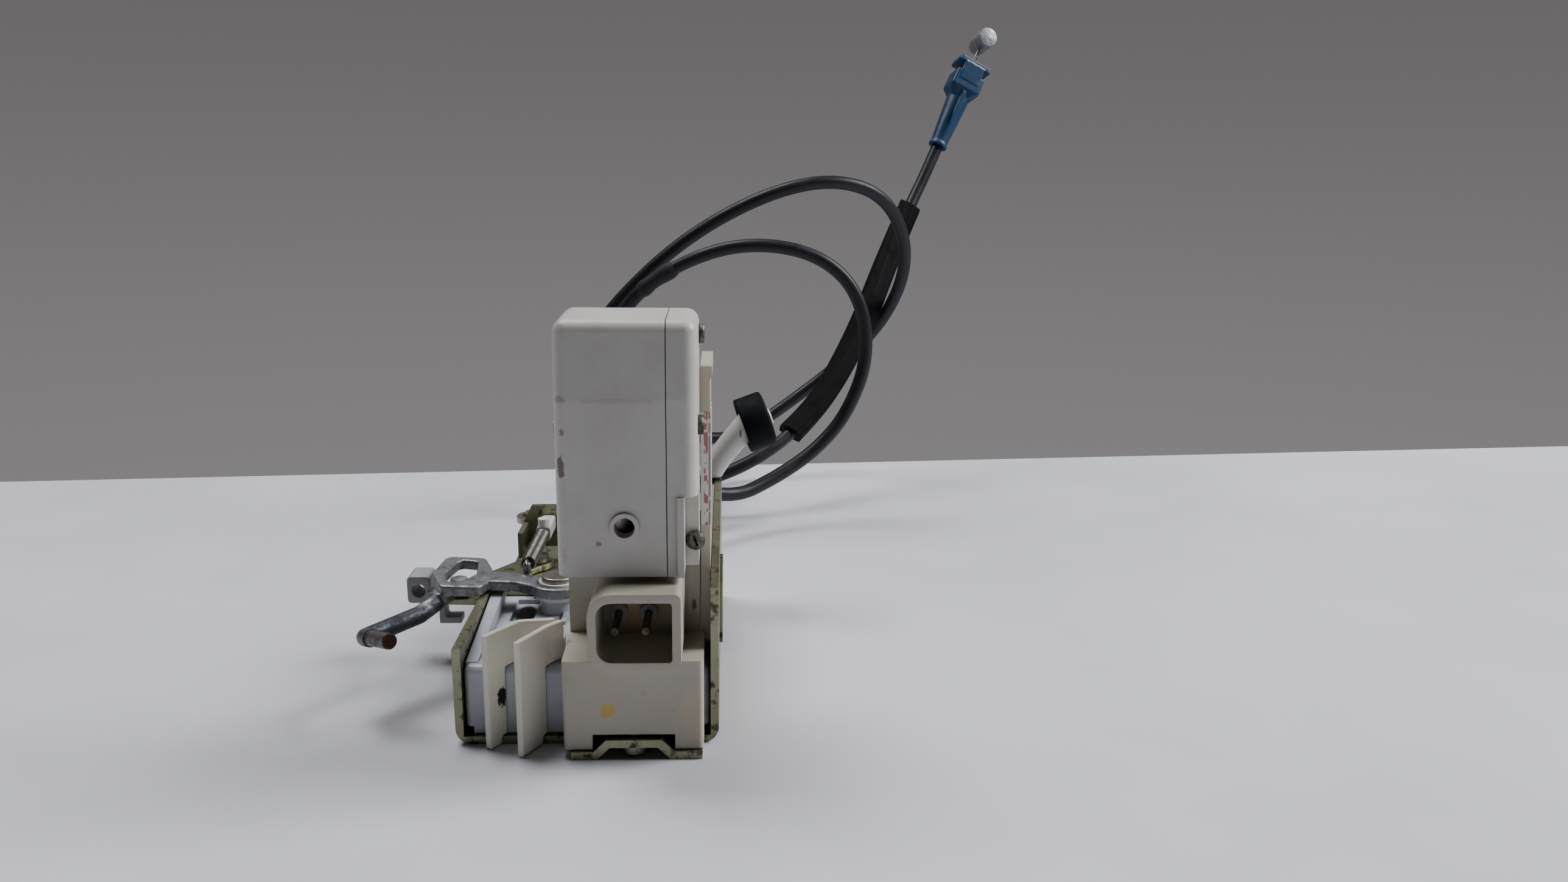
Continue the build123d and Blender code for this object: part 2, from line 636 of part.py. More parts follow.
# Switch housing with the connector shell: skirt, ledge and neck in one ivory moulding
with BuildPart() as switch_housing:
    block(body_x, (body_front, housing_front - fit), (steel + fit, body_top))
    block(body_x, (body_front, ledge_back), (housing_top + fit, body_top))
    block((body_x[0], actuator_x[1]), (ledge_back, neck_back), (housing_top + fit, neck_top))
    fillet(switch_housing.edges().filter_by(Axis.Z).group_by(Axis.Y)[0], 1.2)
    block((channel_x[0] - lean - fit, channel_x[1] + lean + fit), (body_front - 1, housing_front),
          (0, steel + channel_rise + 1.0), Mode.SUBTRACT)
    with BuildSketch(Plane.XZ.offset(-ledge_back)) as shell:
        with Locations(((connector_x[0] + connector_x[1]) / 2, (connector_z[0] + connector_z[1]) / 2)):
            Rectangle(connector_x[1] - connector_x[0], connector_z[1] - connector_z[0])
        fillet(shell.vertices().sort_by(Axis.X)[:2], 5.5)
        fillet(shell.vertices().sort_by(Axis.X)[-2:], 1.5)
    extrude(shell.sketch, amount=ledge_back - connector_front)
    with BuildSketch(Plane.XZ.offset(-connector_front)) as mouth:
        with Locations(((connector_x[0] + connector_x[1]) / 2, (connector_z[0] + connector_z[1]) / 2)):
            Rectangle(connector_x[1] - connector_x[0] - 2 * connector_wall,
                      connector_z[1] - connector_z[0] - 2 * connector_wall)
        fillet(mouth.vertices().sort_by(Axis.X)[:2], 3.5)
        fillet(mouth.vertices().sort_by(Axis.X)[-2:], 0.8)
    extrude(mouth.sketch, amount=-connector_depth, mode=Mode.SUBTRACT)
    # Pocket for the terminals and the switch board behind the connector
    block((pin_x - 2.5, pin_x + pin_pitch + 2.5), (connector_front + connector_depth + 3.0, neck_back - 2.0),
          (pin_z - 4.0, pin_z + 4.0), Mode.SUBTRACT)
    for index in range(2):
        x = pin_x + index * pin_pitch
        rod((x, connector_front, pin_z), (x, neck_back - 3, pin_z), 0.9, Mode.SUBTRACT)
    disc((tongue_centre_x, front - tongue_reach / 2), (0, 13.0), 2.0 + running_fit, Mode.SUBTRACT)
save(switch_housing, "switch_housing")

with BuildPart() as tongue_rivet:
    disc((tongue_centre_x, front - tongue_reach / 2), (channel_rise - 1.6, 12.5), 2.0)
    disc((tongue_centre_x, front - tongue_reach / 2), (channel_rise - 2.2, channel_rise), 3.4)
save(tongue_rivet, "tongue_rivet")

with BuildPart() as connector_terminals:
    for index in range(2):
        x = pin_x + index * pin_pitch
        rod((x, connector_front + 5.0, pin_z), (x, neck_back - 4.0, pin_z), 0.9)
save(connector_terminals, "connector_terminals")

with BuildPart() as terminal_collars:
    for index in range(2):
        x = pin_x + index * pin_pitch
        back_wall = connector_front + connector_depth
        rod((x, back_wall - 1.6, pin_z), (x, back_wall, pin_z), 2.15)
        rod((x, back_wall - 2, pin_z), (x, back_wall + 1, pin_z), 0.9, Mode.SUBTRACT)
save(terminal_collars, "terminal_collars")

with BuildPart() as position_switch:
    block((pin_x - 2.0, pin_x + pin_pitch + 2.0), (neck_back - 3.9, neck_back - 2.2),
          (pin_z - 3.5, pin_z + 3.5))
save(position_switch, "position_switch")

# Actuator: a deep case closed by a shallow cover at the seam
actuator_y = (actuator_front, actuator_back)
inside_y = (actuator_front + front_wall, actuator_back - actuator_wall)
inside_height = (actuator_z[0] + actuator_wall, actuator_z[1] - actuator_wall)
lean_outline = [(actuator_front - 1, crease_z), (actuator_front, crease_z),
                (actuator_front + crease_lean, actuator_z[1] + 1), (actuator_front - 1, actuator_z[1] + 1)]
screw_heads = [((26.35, actuator_front + 8.0, 52.0), (0, -1, 0)), ((actuator_x[1], -40.0, 99.0), (1, 0, 0)),
               ((actuator_x[1], -52.0, 80.0), (1, 0, 0))]
with BuildPart() as actuator_case:
    block((actuator_x[0], seam_x), actuator_y, actuator_z)
    profile(lean_outline, Plane.YZ.offset(actuator_x[0] - 1), 40, Mode.SUBTRACT)
    fillet(actuator_case.edges().filter_by(Axis.Z).group_by(Axis.X)[0], corner)
    fillet(actuator_case.edges().filter_by(Axis.Y).group_by(Axis.X)[0].sort_by(Axis.Z)[-1], corner)
    block((actuator_x[0] + actuator_wall, seam_x + 1), inside_y, inside_height, Mode.SUBTRACT)
    rod((10.5, actuator_front - 0.7, 57.5), (10.5, actuator_front + 1, 57.5), 3.4)
    rod((10.5, actuator_front - 2, 57.5), (10.5, actuator_front + front_wall + 1, 57.5), 2.35, Mode.SUBTRACT)
    rod((wheel_x, actuator_back - actuator_wall - 1, wheel_axis_z),
        (wheel_x, actuator_back + 1, wheel_axis_z),
        2.0 + running_fit, Mode.SUBTRACT)
    block((actuator_x[0] - 1.6, actuator_x[0] + 0.5), (-46.0, -43.0), (76.5, 79.0))
save(actuator_case, "actuator_case")

with BuildPart() as actuator_cover:
    block((seam_x + seam_gap, actuator_x[1]), actuator_y, (actuator_z[0], actuator_z[1]))
    profile(lean_outline, Plane.YZ.offset(actuator_x[0] - 1), 40, Mode.SUBTRACT)
    fillet(actuator_cover.edges().filter_by(Axis.Z).group_by(Axis.X)[-1], corner)
    fillet(actuator_cover.edges().filter_by(Axis.Y).group_by(Axis.X)[-1].sort_by(Axis.Z)[-1], corner)
    block((step_x, actuator_x[1] + 1), (actuator_front - 1, actuator_front + 8.0),
          (actuator_z[0] - 1, step_z),
          Mode.SUBTRACT)
    block((seam_x, step_x - actuator_wall), inside_y, inside_height, Mode.SUBTRACT)
    block((seam_x, actuator_x[1] - actuator_wall), (inside_y[0] + 8.0, inside_y[1]), inside_height,
          Mode.SUBTRACT)
    block((seam_x, actuator_x[1] - actuator_wall), inside_y, (step_z + actuator_wall, inside_height[1]),
          Mode.SUBTRACT)
    block((step_x - 1.6, step_x), (actuator_front - 0.9, actuator_front + 1), (actuator_z[0], step_z))
save(actuator_cover, "actuator_cover")

with BuildPart() as case_seal:
    block((seam_x - 0.6, seam_x), (inside_y[0], inside_y[1]), inside_height)
    block((seam_x - 1, seam_x + 1), (inside_y[0] + 1.0, inside_y[1] - 1.0),
          (inside_height[0] + 1.0, inside_height[1] - 1.0), Mode.SUBTRACT)
save(case_seal, "case_seal")

with BuildPart() as cover_screws:
    for place, direction in screw_heads:
        outward = Vector(*direction)
        head_end = Vector(*place) + outward * 1.3
        rod(place, (head_end.X, head_end.Y, head_end.Z), 2.25)
save(cover_screws, "cover_screws")

# Motor and worm on one upright axis, and the worm wheel beside it
with BuildPart() as motor:
    disc(motor_centre, motor_z, motor_radius)
    fillet(motor.edges().group_by(Axis.Z)[-1], 1.0)
    disc(motor_centre, (motor_z[1] - 6.0, motor_z[1] + 1), shaft_radius + running_fit, Mode.SUBTRACT)
    disc(motor_centre, (motor_z[1], motor_z[1] + 1.6), 3.0)
    disc(motor_centre, (motor_z[1] - 1, motor_z[1] + 2), shaft_radius + running_fit, Mode.SUBTRACT)
save(motor, "motor")

with BuildPart() as motor_shaft:
    disc(motor_centre, (motor_z[1] - 5.5, worm_z[1] + 3.0), shaft_radius)
save(motor_shaft, "motor_shaft")

wheel_pitch_angle = 360.0 / wheel_teeth
with BuildPart() as worm:
    disc(motor_centre, worm_z, worm_root)
    with BuildLine(Plane(origin=(motor_centre[0], motor_centre[1],
                                 wheel_axis_z - 3 * worm_pitch))) as thread_line:
        Helix(worm_pitch, 6 * worm_pitch, (worm_root + worm_tip) / 2)
    thread_start = thread_line.line @ 0
    with BuildSketch(Plane(origin=thread_start, x_dir=(1, 0, 0), z_dir=(thread_line.line % 0))):
        with BuildLine():
            half_depth = (worm_tip - worm_root) / 2
            Polyline((-half_depth - 0.2, -0.45), (half_depth, -0.16), (half_depth, 0.16),
                     (-half_depth - 0.2, 0.45), close=True)
        make_face()
    sweep(is_frenet=True)
    disc(motor_centre, (worm_z[0] - 1, worm_z[1] + 1), shaft_radius, Mode.SUBTRACT)
save(worm, "worm")

with BuildPart() as worm_wheel:
    rod((wheel_x, motor_centre[1] - 2.0, wheel_axis_z), (wheel_x, motor_centre[1] + 2.0, wheel_axis_z),
        wheel_root)
    tooth_height = wheel_tip - wheel_root + 0.4
    wheel_plane = Plane(origin=(wheel_x, motor_centre[1] + 2.0, wheel_axis_z), x_dir=(1, 0, 0),
                        z_dir=(0, -1, 0))
    with BuildSketch(wheel_plane) as teeth:
        with PolarLocations(wheel_tip - tooth_height / 2, wheel_teeth,
                            start_angle=180.0 + wheel_pitch_angle / 2):
            Trapezoid(0.88, tooth_height, 78.7, rotation=-90)
    extrude(teeth.sketch, amount=4.0)
    rod((wheel_x, motor_centre[1] - 3, wheel_axis_z), (wheel_x, motor_centre[1] + 3, wheel_axis_z), 2.0,
        Mode.SUBTRACT)
save(worm_wheel, "worm_wheel")

with BuildPart() as output_shaft:
    rod((wheel_x, inside_y[0] + 0.5, wheel_axis_z), (wheel_x, actuator_back + 2.5, wheel_axis_z), 2.0)
save(output_shaft, "output_shaft")

lever_y = (actuator_back + 0.5, actuator_back + 2.5)
with BuildPart() as output_lever:
    rod((wheel_x, lever_y[0], wheel_axis_z), (wheel_x, lever_y[1], wheel_axis_z), 4.5)
    rod((output_pin[0], lever_y[0], output_pin[1]), (output_pin[0], lever_y[1], output_pin[1]), 4.0)
    across = Vector(sin(radians(output_angle)), -cos(radians(output_angle))) * 3.5
    profile(
        [
            (wheel_x + across.X, wheel_axis_z + across.Y), (wheel_x - across.X, wheel_axis_z - across.Y),
            (output_pin[0] - across.X, output_pin[1] - across.Y), (output_pin[0] + across.X,
                                                                   output_pin[1] + across.Y),
        ],
        Plane.XZ.offset(-lever_y[1]), lever_y[1] - lever_y[0])
    rod((wheel_x, lever_y[0] - 1, wheel_axis_z), (wheel_x, lever_y[1] + 1, wheel_axis_z), 2.0, Mode.SUBTRACT)
    rod((output_pin[0], lever_y[0] - 1, output_pin[1]), (output_pin[0], lever_y[1] + 1, output_pin[1]), 2.4,
        Mode.SUBTRACT)
save(output_lever, "output_lever")

# Nylon carrier beside the actuator and along the shell's right wall
with BuildPart() as actuator_carrier:
    block(carrier_x, carrier_upper_y, (carrier_lower_z[0], carrier_top))
    block(carrier_x, carrier_lower_y, carrier_lower_z)
    fillet(actuator_carrier.edges().filter_by(Axis.X).sort_by(Axis.Z)[-1], 1.0)
    block((carrier_x[0], carrier_x[1] + 0.5), (carrier_upper_y[0], carrier_upper_y[1]), (88.0, carrier_top))
    block((carrier_x[0] - 3.0, carrier_x[0]), (actuator_back + 0.3, carrier_upper_y[1]), (50.0, 54.0))
save(actuator_carrier, "actuator_carrier")

with BuildPart() as blank_label:
    block((carrier_x[1], carrier_x[1] + 0.15), (carrier_upper_y[0] + 1.0, carrier_upper_y[1] - 1.0),
          (57.0, 79.0))
save(blank_label, "blank_label")

# Inside handle lever on its stud, with a slot for the cable's nipple
inside_level = (inside_z, inside_z + inside_thickness)
nipple_place = (cable_exit[0], nipple_y)
with BuildPart() as inside_handle_lever:
    disc(inside_pivot, inside_level, 5.5)
    prism([(inside_pivot[0] - 2.0, inside_pivot[1] + 5.0), (nipple_place[0], nipple_place[1] + 5.5),
           (nipple_place[0] - 4.5, nipple_place[1] + 3.0), (nipple_place[0] - 4.5, nipple_place[1] - 4.0),
           (inside_pivot[0] - 1.0, inside_pivot[1] - 5.0)], inside_level, 0.8)
    disc(inside_pivot, (inside_z - 1, inside_z + 3), lock_stud_radius + running_fit, Mode.SUBTRACT)
    prism([(nipple_place[0] - 3.0, nipple_place[1] - 2.9), (nipple_place[0] + 4.5, nipple_place[1] - 4.0),
           (nipple_place[0] + 4.5, nipple_place[1] + 2.6), (nipple_place[0] - 3.0, nipple_place[1] + 2.9)],
          (inside_z - 1, inside_z + 3), 0.0, Mode.SUBTRACT)
save(inside_handle_lever, "inside_handle_lever")

with BuildPart() as inside_stud:
    disc(inside_pivot, (plate_z, inside_level[1] + gap), lock_stud_radius)
    disc(inside_pivot, (plate_top, inside_z - gap), 4.5)
    disc(inside_pivot, (inside_level[1] + 3.4, inside_level[1] + 4.6), 4.0)
    disc(inside_pivot, (inside_level[1], inside_level[1] + 4.0), lock_stud_radius)
save(inside_stud, "inside_stud")

with BuildPart() as inside_lever_spring:
    coil(inside_pivot, (inside_level[1] + gap, inside_level[1] + 3.2), 4.6, 1.0)
save(inside_lever_spring, "inside_lever_spring")

# Steel cable anchor riveted to the back plate, its fork holding the ferrule
with BuildPart() as cable_anchor:
    block((-2.0, 18.0), (anchor_y - 5.0, anchor_y + anchor_thickness),
          (plate_top, plate_top + anchor_thickness))
    block((-2.0, 18.0), (anchor_y, anchor_y + anchor_thickness), (plate_top, cable_exit[2] + 6.5))
    fillet(cable_anchor.edges().filter_by(Axis.Y).group_by(Axis.Z)[-1], 3.0)
    rod((cable_exit[0], anchor_y - 1, cable_exit[2]), (cable_exit[0], anchor_y + 3, cable_exit[2]), 3.0,
        Mode.SUBTRACT)
    block((cable_exit[0] - 3.0, cable_exit[0] + 3.0), (anchor_y - 1, anchor_y + 3), (cable_exit[2], 40),
          Mode.SUBTRACT)
save(cable_anchor, "cable_anchor")

with BuildPart() as cable_ferrule:
    x, y, z = cable_exit
    rod((x, anchor_y - 2.5, z), (x, y + 8.0, z), 4.0)
    rod((x, anchor_y, z), (x, anchor_y + anchor_thickness, z), 6.0, Mode.SUBTRACT)
    rod((x, anchor_y - 1, z), (x, anchor_y + anchor_thickness + 1, z), 3.0)
    rod((x, anchor_y - 3, z), (x, y + 1, z), wire_radius + running_fit, Mode.SUBTRACT)
    rod((x, y, z), (x, y + 9, z), cable_radius, Mode.SUBTRACT)
save(cable_ferrule, "cable_ferrule")

with BuildPart() as lock_end_wire:
    rod((cable_exit[0], nipple_y, cable_exit[2]), (cable_exit[0], cable_exit[1] - 7.0, cable_exit[2]),
        wire_radius)
save(lock_end_wire, "lock_end_wire")

with BuildPart() as lock_end_nipple:
    disc(nipple_place, (inside_z - 0.6, cable_exit[2] + 1.6), 2.3)
    rod((cable_exit[0], nipple_y, cable_exit[2]), (cable_exit[0], nipple_y + 5, cable_exit[2]), wire_radius,
        Mode.SUBTRACT)
save(lock_end_nipple, "lock_end_nipple")

# Cable conduit: straight runs joined by tangent arcs
route = [Vector(*point) for point in cable_route]


def corner_radius(before, here, after):
    """Return the arc radius at a corner: 0.45 of its shorter run over the tangent of half its turn."""
    turn = (here - before).get_angle(after - here)
    shorter = min((here - before).length, (after - here).length)
    return 0.45 * shorter / tan(radians(turn / 2))


cable_radii = [corner_radius(*corner_points) for corner_points in zip(route, route[1:], route[2:])]
print("smallest cable radius", round(min(cable_radii), 1))
with BuildPart() as cable_conduit:
    with BuildLine() as cable_line:
        FilletPolyline(*cable_route, radius=cable_radii)
    with BuildSketch(Plane(origin=cable_route[0], z_dir=cable_line.line % 0)):
        Circle(cable_radius)
    sweep()
cable_length = cable_line.wires()[0].length
print("cable length", round(cable_length, 1), "volume ratio",
      round(cable_conduit.part.volume / (pi * cable_radius**2 * cable_length), 4))
save(cable_conduit, "cable_conduit")

# Ribbed flat rubber sleeve on the cable's last rising stretch
sleeve_first = 32
sleeve_route = cable_route[sleeve_first:37]
sleeve_radii = cable_radii[sleeve_first:35]
sleeve_width = 9.5
with BuildPart() as cable_sleeve:
    with BuildLine() as sleeve_line:
        FilletPolyline(*sleeve_route, radius=sleeve_radii)
    across = Vector(0.86, -0.2, -0.4)
    sleeve_plane = Plane(origin=sleeve_route[0], x_dir=across, z_dir=sleeve_line.line % 0)
    with BuildSketch(sleeve_plane):
        RectangleRounded(sleeve_width, 2 * cable_radius + 2.4, 1.2)
        Circle(cable_radius, mode=Mode.SUBTRACT)
    sweep()
save(cable_sleeve, "cable_sleeve")

# Blue end fitting: tapered body, collar block and a slotted head plate
end_point = route[-1]
end_direction = (route[-1] - route[-2]).normalized()
end_plane = Plane(origin=end_point, x_dir=(0.9, 0.1, -0.4), z_dir=end_direction)
taper_length = 24.0
collar_length = 7.0
head_offset = taper_length + collar_length + 4.0
with BuildPart() as cable_end_fitting:
    with BuildSketch(end_plane.offset(-4.0)):
        Circle(3.6)
    with BuildSketch(end_plane.offset(taper_length)):
        Circle(5.2)
    loft()
    with BuildSketch(end_plane.offset(taper_length)):
        RectangleRounded(13.0, 11.0, 1.5)
    extrude(amount=collar_length)
    with BuildSketch(end_plane.offset(taper_length + collar_length)):
        RectangleRounded(8.0, 8.0, 1.0)
    extrude(amount=4.0)
    with BuildSketch(end_plane.offset(head_offset)):
        RectangleRounded(15.0, 12.0, 1.2)
        with Locations((3.2, 5.4), (-3.2, 5.4)):
            Rectangle(2.4, 2.4, mode=Mode.SUBTRACT)
    extrude(amount=2.4)
    with BuildSketch(end_plane.offset(-5.0)):
        Circle(cable_radius)
    extrude(amount=5.0, mode=Mode.SUBTRACT)
    with BuildSketch(end_plane.offset(10.0)):
        Circle(wire_radius + running_fit)
    extrude(amount=60.0, mode=Mode.SUBTRACT)
save(cable_end_fitting, "cable_end_fitting")

# Free end of the inner wire with its barrel nipple
head_end = head_offset + 2.4
free_wire = 9.0
nipple_radius = 4.2
nipple_length = 12.0
with BuildPart() as free_end_wire:
    with BuildSketch(end_plane.offset(12.0)):
        Circle(wire_radius)
    extrude(amount=head_end - 12.0 + free_wire)
save(free_end_wire, "free_end_wire")

nipple_centre = end_point + end_direction * (head_end + free_wire + nipple_radius - 0.8)
nipple_axis = end_direction.cross(Vector(0.9, 0.1, -0.4)).normalized()
nipple_start = nipple_centre - nipple_axis * (nipple_length / 2)
nipple_end = nipple_centre + nipple_axis * (nipple_length / 2)
with BuildPart() as free_end_nipple:
    rod(tuple(nipple_start), tuple(nipple_end), nipple_radius)
    fillet(free_end_nipple.edges().filter_by(GeomType.CIRCLE), 0.4)
    with BuildSketch(end_plane.offset(head_end)):
        Circle(wire_radius)
    extrude(amount=free_wire, mode=Mode.SUBTRACT)
save(free_end_nipple, "free_end_nipple")

# Key link: a nylon elbow on a stud at the shell's far end, with a black rubber cap on its boss
link_foot = (28.45, 47.0)
elbow_bend = (39.5, 47.0, 56.8)
boss_direction = Vector(0.94, 0.12, 0.32).normalized()
boss_radius = 2.6
elbow_radius = 3.5
with BuildPart() as key_link_elbow:
    disc(link_foot, (right_wall_height + 0.5, 45.5), elbow_radius)
    rod((link_foot[0], link_foot[1], 44.5), elbow_bend, elbow_radius)
    with Locations(elbow_bend):
        Sphere(elbow_radius + 1.0)
    boss_end = Vector(*elbow_bend) + boss_direction * 8.0
    rod(elbow_bend, tuple(boss_end), boss_radius)
    disc(link_foot, (30.0, 46.0), 1.1 + running_fit, Mode.SUBTRACT)
save(key_link_elbow, "key_link_elbow")

with BuildPart() as key_link_stud:
    disc(link_foot, (carrier_lower_z[1], 45.0), 1.1)
save(key_link_stud, "key_link_stud")

cap_start = Vector(*elbow_bend) - boss_direction * 1.6
cap_web = Vector(*elbow_bend) + boss_direction * 5.6
cap_end = Vector(*elbow_bend) + boss_direction * 7.0
cap_radius = 8.6
cap_wall = 1.2
with BuildPart() as key_link_cap:
    rod(tuple(cap_start), tuple(cap_end), cap_radius)
    rod(tuple(cap_start), tuple(cap_web), cap_radius - cap_wall, Mode.SUBTRACT)
    rod(elbow_bend, tuple(boss_end), boss_radius, Mode.SUBTRACT)
save(key_link_cap, "key_link_cap")
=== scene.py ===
"""Car door latch with a locking actuator and a Bowden cable: its looks, the studio and the camera."""

import json
import logging
import math
from dataclasses import dataclass
from enum import Enum
from typing import Sequence

import bpy
from mathutils import Matrix, Vector

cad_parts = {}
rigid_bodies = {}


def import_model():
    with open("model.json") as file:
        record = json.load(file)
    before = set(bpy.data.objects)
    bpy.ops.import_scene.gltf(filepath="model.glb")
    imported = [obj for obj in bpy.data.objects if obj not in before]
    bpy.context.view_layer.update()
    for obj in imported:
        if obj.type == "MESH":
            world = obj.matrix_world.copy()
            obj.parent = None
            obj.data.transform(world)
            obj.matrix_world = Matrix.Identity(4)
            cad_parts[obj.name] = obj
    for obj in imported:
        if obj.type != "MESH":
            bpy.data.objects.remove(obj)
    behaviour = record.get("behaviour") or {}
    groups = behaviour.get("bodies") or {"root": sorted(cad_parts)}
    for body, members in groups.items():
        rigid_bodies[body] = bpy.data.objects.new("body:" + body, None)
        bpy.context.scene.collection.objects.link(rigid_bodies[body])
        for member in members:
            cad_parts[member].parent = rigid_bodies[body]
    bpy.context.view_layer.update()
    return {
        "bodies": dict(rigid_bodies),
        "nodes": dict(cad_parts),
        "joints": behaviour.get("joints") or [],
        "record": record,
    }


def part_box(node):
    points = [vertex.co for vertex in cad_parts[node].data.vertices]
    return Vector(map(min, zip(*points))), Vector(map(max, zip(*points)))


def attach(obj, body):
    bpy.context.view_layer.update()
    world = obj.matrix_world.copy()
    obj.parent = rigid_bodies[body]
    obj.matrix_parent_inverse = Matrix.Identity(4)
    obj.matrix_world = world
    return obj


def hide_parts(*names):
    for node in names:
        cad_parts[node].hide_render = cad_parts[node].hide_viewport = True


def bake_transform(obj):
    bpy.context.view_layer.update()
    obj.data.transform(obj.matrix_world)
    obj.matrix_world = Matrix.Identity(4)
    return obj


Point = tuple[float, float, float]
Faces = list[tuple[int, ...]]
Shape = tuple[list[Vector], Faces]

MM = 0.001
ROOT = "lock_frame"

log = logging.getLogger("door_latch")


class Slot(Enum):
    """The record's material slot names; nothing in this script reads them."""

    BRIGHT = "bright_steel"
    CASTING = "zinc_casting"
    WHITE_NYLON = "white_nylon"
    GREY_NYLON = "grey_nylon"
    IVORY = "ivory_nylon"
    LABEL = "printed_label"
    RUBBER = "black_rubber"
    JACKET = "cable_jacket"
    BLUE = "blue_plastic"


# Materials


def linear(code: str) -> tuple[float, float, float, float]:
    """Turn an sRGB hex colour into a linear one.

    Args:
        code: Colour written as #rrggbb.

    Returns:
        Linear red, green, blue and an alpha of one.
    """
    parts = [int(code[i : i + 2], 16) / 255 for i in (1, 3, 5)]
    red, green, blue = (p / 12.92 if p <= 0.04045 else ((p + 0.055) / 1.055) ** 2.4 for p in parts)
    return red, green, blue, 1.0


def add(tree: bpy.types.NodeTree, kind: str, settings: dict | None = None,
        inputs: dict | None = None) -> bpy.types.Node:
    """Add a node with its settings, values and links.

    Args:
        tree: Node tree that takes the node.
        kind: Blender's type name of the node.
        settings: Properties of the node.
        inputs: Value or output socket for each input, by name or index.

    Returns:
        The new node.
    """
    node = tree.nodes.new(kind)
    for name, value in (settings or {}).items():
        setattr(node, name, value)
    for key, value in (inputs or {}).items():
        socket = node.inputs[key]
        if isinstance(value, bpy.types.NodeSocket):
            tree.links.new(value, socket)
        elif isinstance(value, str) and value.startswith("#"):
            socket.default_value = linear(value)
        else:
            socket.default_value = value
    return node


@dataclass(frozen=True)
class Mark:
    """A local stain or dab of paint: its place, radius and stretch are in millimetres."""

    place: Point
    radius: float
    colour: str
    ragged: float = 0.6
    stretch: Point = (1.0, 1.0, 1.0)
    strength: float = 0.9


